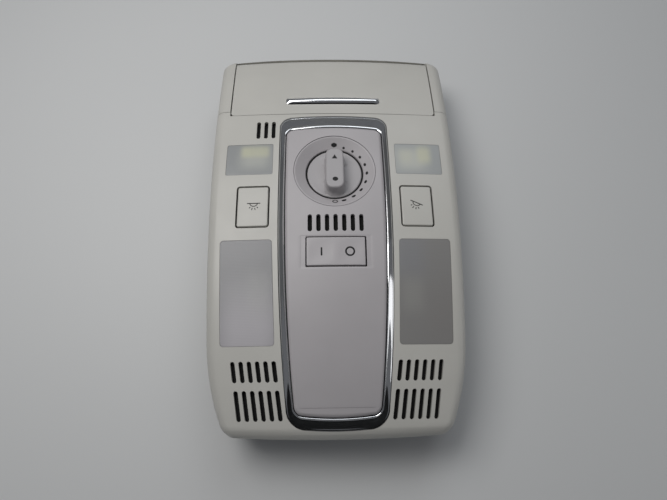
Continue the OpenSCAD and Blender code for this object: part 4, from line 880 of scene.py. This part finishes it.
def turned(profile, steps=TURN_STEPS):
    """Spins a profile of (radius, height) pairs a full turn about Z."""
    shape = bmesh.new()
    verts = [shape.verts.new((r, 0, z)) for r, z in profile]
    edges = [shape.edges.new(pair) for pair in zip(verts, verts[1:])]
    bmesh.ops.spin(shape, geom=verts + edges, cent=(0, 0, 0), axis=(0, 0, 1), angle=2 * math.pi,
                   steps=steps, use_merge=True)
    bmesh.ops.remove_doubles(shape, verts=shape.verts, dist=1e-4)
    bmesh.ops.recalc_face_normals(shape, faces=shape.faces)
    return shape


def turned_ring(inside, outside, low, high, steps=TURN_STEPS):
    """A flat ring with a rectangular section."""
    return turned([(inside, low), (outside, low), (outside, high), (inside, high), (inside, low)], steps)


def leaned(shape):
    return moved(shape, DIAL_LEAN)


# %% [markdown]
# The dial's dish is a shallow cone with a rolled rim, sunk in the panel. The gap round the knob lies in
# deep shadow, so a black ring is turned to fill it, as painted shadow.

# %% Dial dish
KNOB_R, DISH_FLOOR, DISC_TOP, GRIP_L, GRIP_W, GRIP_TOP = 17.3, -11.1, -5.4, 28.8, 11.4, 3.5
DIAL_RIM = -DIAL_R ** 2 / (PANEL_R + PANEL_CROSS_R)
CONE_LOW, CONE_R, KNOB_GAP, HOLE_R, DISH_T = -5.0, KNOB_R + 1.3, 1.05, 9, 1.5
dish = turned([(HOLE_R, DISH_FLOOR), (KNOB_R + 2.2, DISH_FLOOR), (DIAL_R - 0.05, DIAL_RIM - 2.4),
               (DIAL_R - 0.05, DIAL_RIM - 0.25), (DIAL_R - 0.2, DIAL_RIM - 0.04), (DIAL_R - 0.5, DIAL_RIM),
               (DIAL_R - 0.9, DIAL_RIM - 0.08), (DIAL_R - 1.3, DIAL_RIM - 0.4),
               (CONE_R + 0.5, CONE_LOW + 0.15), (CONE_R + 0.1, CONE_LOW - 0.1),
               (KNOB_R + KNOB_GAP, CONE_LOW - 0.6), (KNOB_R + KNOB_GAP, DISH_FLOOR + DISH_T),
               (HOLE_R, DISH_FLOOR + DISH_T), (HOLE_R, DISH_FLOOR)])
finished(leaned(dish), "dial_cone", PANEL, "console", "panel_plastic", "dial_dish")

# A black ring that fills the knob's gap: painted shadow, not a part of the console.
SHADOW_RING_TOP, SHADOW_RING_T = CONE_LOW - 0.9, 1.2
gap_shadow_ring = turned_ring(KNOB_R + 0.15, KNOB_R + KNOB_GAP + 0.1, SHADOW_RING_TOP - SHADOW_RING_T, SHADOW_RING_TOP)
finished(leaned(gap_shadow_ring), "dial_gap_shadow", MESH, "console", "black_plastic")

# %% [markdown]
# The knob is a turned disc with a bar across it. The bar's flanks flare into the disc in a small
# fillet, which is what makes it look moulded in one with it.

# %% Roof switch knob
disc = turned([(0, DISC_TOP - 2.2), (KNOB_R - 0.2, DISC_TOP - 2.2), (KNOB_R, DISC_TOP - 2.0),
               (KNOB_R, DISC_TOP - 0.6), (KNOB_R - 0.15, DISC_TOP - 0.25), (KNOB_R - 0.6, DISC_TOP - 0.08),
               (KNOB_R - 1.4, DISC_TOP - 0.02), (KNOB_R - 2.6, DISC_TOP - 0.40),
               (KNOB_R - 6, DISC_TOP + 0.1), (8, DISC_TOP + 0.45), (0, DISC_TOP + 0.6)])
GRIP_SINK = 0.4
grip = rounded_block(0, -0.8, GRIP_W, GRIP_L, DISC_TOP - GRIP_SINK, GRIP_TOP, 4.6, segments=10)
round_edges(grip, at_height(GRIP_TOP), 1.2, 5)
for k in range(1, 12):
    slice_at(grip, 2, DISC_TOP - GRIP_SINK + 0.32 * k + 0.02 * k * k)
for v in grip.verts:
    above = max(0.0, v.co.z - DISC_TOP)
    flare = 1.3 * max(0.0, 1 - above / 3.0) ** 2.4 - 0.25 * math.sin(math.pi * min(1.0, above / 8.0))
    out = Vector((v.co.x, v.co.y * 0.42, 0)).normalized()
    v.co += out * flare
knob = cut(disc, grip, "UNION")
finished(leaned(knob), "knob_grip", KNOB_GREY, "knob", "panel_plastic", "roof_knob",
         smooth=math.radians(50))

# %% [markdown]
# The printed marks are pad print, a few hundredths of a millimetre thick. As thin solids just proud
# of the surface they stay crisp at any distance. Each is a small disc, bar or ring that is stood on
# the surface by a matrix, or let down onto its crown.

# %% Print
INK_T, INK_SINK = 0.05, 0.12


def ink(segments, radius, stretch=(1, 1)):
    """A flat mark with this many sides, about the origin, its lower face sunk under the surface."""
    shape = cylinder(segments, radius, -INK_SINK, INK_T)
    bmesh.ops.scale(shape, vec=(*stretch, 1), verts=shape.verts)
    return shape


def ink_ring(radius, width):
    return turned_ring(radius - width / 2, radius + width / 2, -INK_SINK, INK_T, 48)


def ink_bar(x0, y0, x1, y1, width):
    length = math.hypot(x1 - x0, y1 - y0)
    shape = rounded_block(0, 0, length, width, -INK_SINK, INK_T, width * 0.45, segments=3)
    bmesh.ops.rotate(shape, matrix=Matrix.Rotation(math.atan2(y1 - y0, x1 - x0), 3, "Z"), verts=shape.verts)
    bmesh.ops.translate(shape, vec=((x0 + x1) / 2, (y0 + y1) / 2, 0), verts=shape.verts)
    return shape


def laid(shape, surface, lift=0.0):
    """Lays marks, made about height 0, on a crown."""
    for v in shape.verts:
        v.co.z += surface(v.co.x, v.co.y) + lift
    return shape


# %% [markdown]
# The dial's scale is a row of dots that grow clockwise, from a six-sided mark at the flap end to an
# open ring at the near end. Each is made flat, then stood on the cone's slope at its angle.

# %% Dial marks
SCALE_R, DOT_STEP, DOTS = 21.2, 18.3, 9
cone_slope = math.atan2(DIAL_RIM - 0.4 - CONE_LOW, DIAL_R - 1.3 - CONE_R - 0.5)


def on_cone(shape, clock_angle, radius=SCALE_R):
    """Stands a mark on the dial's cone, at an angle clockwise from the far side."""
    height = CONE_LOW + 0.15 + (radius - CONE_R - 0.5) * math.tan(cone_slope)
    stand = (Matrix.Rotation(-math.radians(clock_angle), 4, "Z") @ Matrix.Translation((0, radius, height))
             @ Matrix.Rotation(cone_slope, 4, "X"))
    return moved(shape, stand)


marks = [on_cone(ink(6, 1.8, (1.15, 0.85)), 0, SCALE_R - 0.4), on_cone(ink_ring(1.5, 0.62), 180)]
for k in range(DOTS):
    dot = ink(16, 0.80 + 0.035 * k, (1 + 0.06 * k, 1))
    marks.append(on_cone(dot, DOT_STEP * (k + 1), SCALE_R - 1.3 + 0.16 * k))
finished(leaned(joined(marks)), "dial_marks", PRINT, "console", "black_plastic")

grip_marks = [moved(ink(3, 2.0), Matrix.Translation((0, 6.6, GRIP_TOP))),
              moved(ink(24, 1.45, (1.2, 1.0)), Matrix.Translation((0.2, -9.2, GRIP_TOP)))]
finished(leaned(joined(grip_marks)), "grip_marks", PRINT, "knob", "black_plastic")

# %% [markdown]
# The rocker fills its window with a thin gap all round. Its face follows the panel, and each half is
# very slightly hollowed, so that a fingertip finds it.

# %% Rocker
ROCKER_DEPTH, SCOOP, ROCKER_PLAY = 6.5, 0.45, 0.35


def scoop(x, y):
    """Depth of the hollow in each half of the rocker's face."""
    along = (abs(x) - ROCKER_L / 4) / (ROCKER_L / 4 - 1.5)
    across = (y - ROCKER_Y) / (ROCKER_W / 2 - 1.5)
    return SCOOP * max(0.0, 1 - along ** 2) * max(0.0, 1 - across ** 2)


rocker = rounded_block(-0.12, ROCKER_Y + 0.12, ROCKER_L - ROCKER_PLAY, ROCKER_W - ROCKER_PLAY,
                       PANEL_TOP - ROCKER_DEPTH, PANEL_TOP, 0.5, segments=3)
round_edges(rocker, at_height(PANEL_TOP), 0.45, 4)
slices(rocker, 1.2)
for v in rocker.verts:
    if v.co.z > PANEL_TOP - 0.3:
        v.co.z -= scoop(v.co.x, v.co.y)
shell_of(rocker, 1.6)
finished(let_down(rocker, panel_z, PANEL_TOP), "rocker_cap", PANEL, "rocker", "panel_plastic", "rocker")


def rocker_face(x, y):
    return panel_z(x, y) - scoop(x, y)


ON_X, OFF_X, SIGN_H, SIGN_W = -8.7, 8.3, 5.2, 1.0
signs = [slices(ink_bar(ON_X, ROCKER_Y - SIGN_H / 2, ON_X, ROCKER_Y + SIGN_H / 2, SIGN_W), 0.8),
         moved(ink_ring(SIGN_H / 2 - 0.1, SIGN_W), Matrix.Translation((OFF_X, ROCKER_Y, 0)))]
finished(laid(joined(signs), rocker_face), "rocker_signs", PRINT, "rocker", "black_plastic")

# %% [markdown]
# The light buttons carry the usual reading lamp sign: a ceiling line, half a lamp bowl under it, and
# rays of light that fall away to one side.

# %% Light buttons
BUTTON_DEPTH, BUTTON_WALL, BUTTON_PROUD, STEM_R, STEM_FOOT = 8.0, 1.6, 0.15, 3.0, 39.12
LINE_Y, LINE_W, BOWL_W, BOWL_H, RAY_W = 1.6, 0.62, 2.6, 2.2, 0.55
SIDES = ((-1, "left"), (1, "right"))


def lamp_sign(side):
    """The sign about the origin, with its rays falling towards the occupant."""
    def at_angle(a, across, down):
        return across * math.cos(a), LINE_Y + down * math.sin(a)

    bars = [ink_bar(-4.6, LINE_Y, 4.6, LINE_Y, LINE_W)]
    for a in (-0.4 * k for k in range(8)):
        bars.append(ink_bar(*at_angle(a, BOWL_W, BOWL_H), *at_angle(a - 0.4, BOWL_W, BOWL_H), LINE_W))
    for angle, end in ((-50, 4.7), (-76, 5.1), (-104, 5.1), (-130, 4.7)):
        a = math.radians(angle)
        bars.append(ink_bar(*at_angle(a, 3.4, 3.4), *at_angle(a, end, end), RAY_W))
    sign = joined(bars)
    tilt = Matrix.Rotation(math.radians(-24 if side > 0 else 0), 4, "Z")
    mirror = Matrix.Diagonal((side * -1.0, 1, 1, 1))
    moved(sign, Matrix.Translation((side * BUTTON["x"] - side * 0.6, BUTTON["y"] + 0.6, 0)) @ tilt @ mirror
          @ Matrix.Diagonal((0.92, 0.92, 1, 1)))
    if side > 0:
        bmesh.ops.reverse_faces(sign, faces=sign.faces)
    return sign


for side, name in SIDES:
    cap = outline_block(BUTTON, side, -0.2, FACE_TOP - BUTTON_DEPTH, FACE_TOP + BUTTON_PROUD)
    round_edges(cap, at_height(FACE_TOP + BUTTON_PROUD), 0.7, 4)
    let_down(shell_of(slices(cap, 3.0), BUTTON_WALL), face_z, FACE_TOP)
    under = face_z(BUTTON["x"], BUTTON["y"]) - BUTTON_WALL / 2
    stem = cylinder(32, STEM_R, STEM_FOOT, under, side * BUTTON["x"], BUTTON["y"])
    finished(cut(cap, stem, "UNION"), name + "_button_cap", TRIM, name + "_button", "trim_plastic",
             name + "_light_button")
    finished(laid(lamp_sign(side), face_z, BUTTON_PROUD), name + "_button_sign", PRINT, name + "_button",
             "black_plastic")

# %% [markdown]
# A lamp's cover sits in its opening a hair below the trim. Where the bulb stands behind it, a soft pale
# patch of painted glow lies in the frosting's colour, and darker patches are painted shade.

# %% Lamp covers
COVER_T, COVER_SINK = 2.2, 0.05
# The pale tints are painted glow of the bulbs through the frosting. The four covers are one plastic, so
# their differing base greys and darker patches are painted shade.
WARM_GLOW, PALE_GLOW, MILKY_GLOW = (0.56, 0.56, 0.40), (0.50, 0.51, 0.46), (0.56, 0.54, 0.565)
left_reading = frosted_cover("left reading cover", (0.292, 0.303, 0.306), (
    (-51.5, 40.5, 15, 13, 0.6, PALE_GLOW), (-57.0, 44.5, 5.5, 6.5, 0.7, WARM_GLOW),
    (-51.0, 44.5, 5, 6.5, 0.6, WARM_GLOW), (-45.5, 44.5, 5, 6.5, 0.6, WARM_GLOW)))
right_reading = frosted_cover("right reading cover", (0.330, 0.345, 0.345), (
    (50.5, 38.5, 15, 13, 0.8, PALE_GLOW), (59.0, 42.0, 7, 10, 0.7, WARM_GLOW), (47.0, 41.0, 7, 8, 0.25, WARM_GLOW)))
# The left courtesy cover is painted lighter over its near part, and the right one paler and darker in
# patches: painted light and shade.
left_courtesy = frosted_cover("left courtesy cover", (0.170, 0.171, 0.180), (
    (-52.0, -84.0, 34, 52, 0.75, MILKY_GLOW), (-46.0, -50.0, 11, 20, 0.12, PALE_GLOW)))
right_courtesy = frosted_cover("right courtesy cover", (0.245, 0.240, 0.234), (
    (44.0, -27.0, 16, 22, 0.4, (0.24, 0.25, 0.275)), (46.0, -52.0, 10, 16, 0.12, PALE_GLOW),
    (66.0, -64.0, 22, 30, 0.3, (0.235, 0.22, 0.21))))


def cover(place, side, leans):
    shape = outline_block(place, side, 0, FACE_TOP - COVER_T, FACE_TOP - COVER_SINK)
    flange = outline_block(place, side, 1.2, FACE_TOP - WALL - 1.5, FACE_TOP - WALL - 0.3)
    for part in (shape, flange):
        if leans:
            lean(part, side)
    round_edges(shape, at_height(FACE_TOP - COVER_SINK), 0.12, 2)
    whole = cut(shape, flange, "UNION")
    return let_down(slices(whole, 3.0), face_z, FACE_TOP)


for (side, name), reading, courtesy in zip(SIDES, (left_reading, right_reading),
                                           (left_courtesy, right_courtesy)):
    finished(cover(READING, side, False), name + "_reading_cover", reading, "console", "lens_plastic",
             name + "_reading_lens")
    finished(cover(COURTESY, side, True), name + "_courtesy_cover", courtesy, "console", "lens_plastic",
             name + "_courtesy_lens")

# %% [markdown]
# What is left is carried over from the imported model: the housing, boards, switches, springs, bulbs and
# screws, each with its finish. A CAD solid has dead sharp edges, so the carrier, the bin, the connector
# socket and the spring clips are copied, their loose triangles are merged back into flat faces, and their
# edges get a small rounding.

# %% Pieces carried from the frame
ROUNDED = {"carrier": 0.45, "stowage_bin": 0.45, "connector_socket": 0.25, "spring_clips": 0.12}
FINISH_OF_SLOT = {"trim_plastic": TRIM, "panel_plastic": PANEL, "chrome_trim": CHROME,
                  "black_plastic": BLACK, "housing_plastic": HOUSING, "board": BOARD, "steel": STEEL,
                  "reflector_plastic": REFLECTOR, "bulb_glass": GLASS}
slot_of = {s["node"]: s["material_slot"] for s in frame["record"]["subparts"]}
body_of = {n: b for b, names in frame["record"]["behaviour"]["bodies"].items() for n in names}


def merged(node):
    """The node's loose triangles as a clean mesh with flat faces, in millimetres."""
    shape = bmesh.new()
    shape.from_mesh(node.data)
    bmesh.ops.scale(shape, vec=(1 / MM,) * 3, verts=shape.verts)
    bmesh.ops.remove_doubles(shape, verts=shape.verts, dist=1e-3)
    bmesh.ops.dissolve_limit(shape, angle_limit=math.radians(1.0), verts=shape.verts, edges=shape.edges)
    return shape


def carried(node_name, name):
    """The node again as a new piece, with the finish of its slot, and its body."""
    slot = slot_of[node_name]
    return finished(merged(NODES[node_name]), name, FINISH_OF_SLOT[slot], body_of[node_name], slot,
                    node_name)


for node_name, radius in ROUNDED.items():
    piece = carried(node_name, node_name + "_moulding")
    rounding = piece.modifiers.new("edges", "BEVEL")
    rounding.width, rounding.segments, rounding.limit_method = radius * MM, 2, "ANGLE"
    rounding.angle_limit, rounding.use_clamp_overlap = math.radians(40), True
    piece.modifiers.move(1, 0)

for node_name, node in NODES.items():
    if node_name not in stood_for:
        look = MESH if node_name.endswith("mesh") else FINISH_OF_SLOT[slot_of[node_name]]
        node.data.materials.clear()
        node.data.materials.append(look)

# %% [markdown]
# A return spring stands on its switch and reaches up into its button. It can't ride with either of them,
# since one end stays and the other moves. So it stays with the console, as a copy with a mesh of its own.

# %% Button springs
for _, name in SIDES:
    coil = carried(name + "_button_spring", name + "_spring_coil")
    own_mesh(coil)
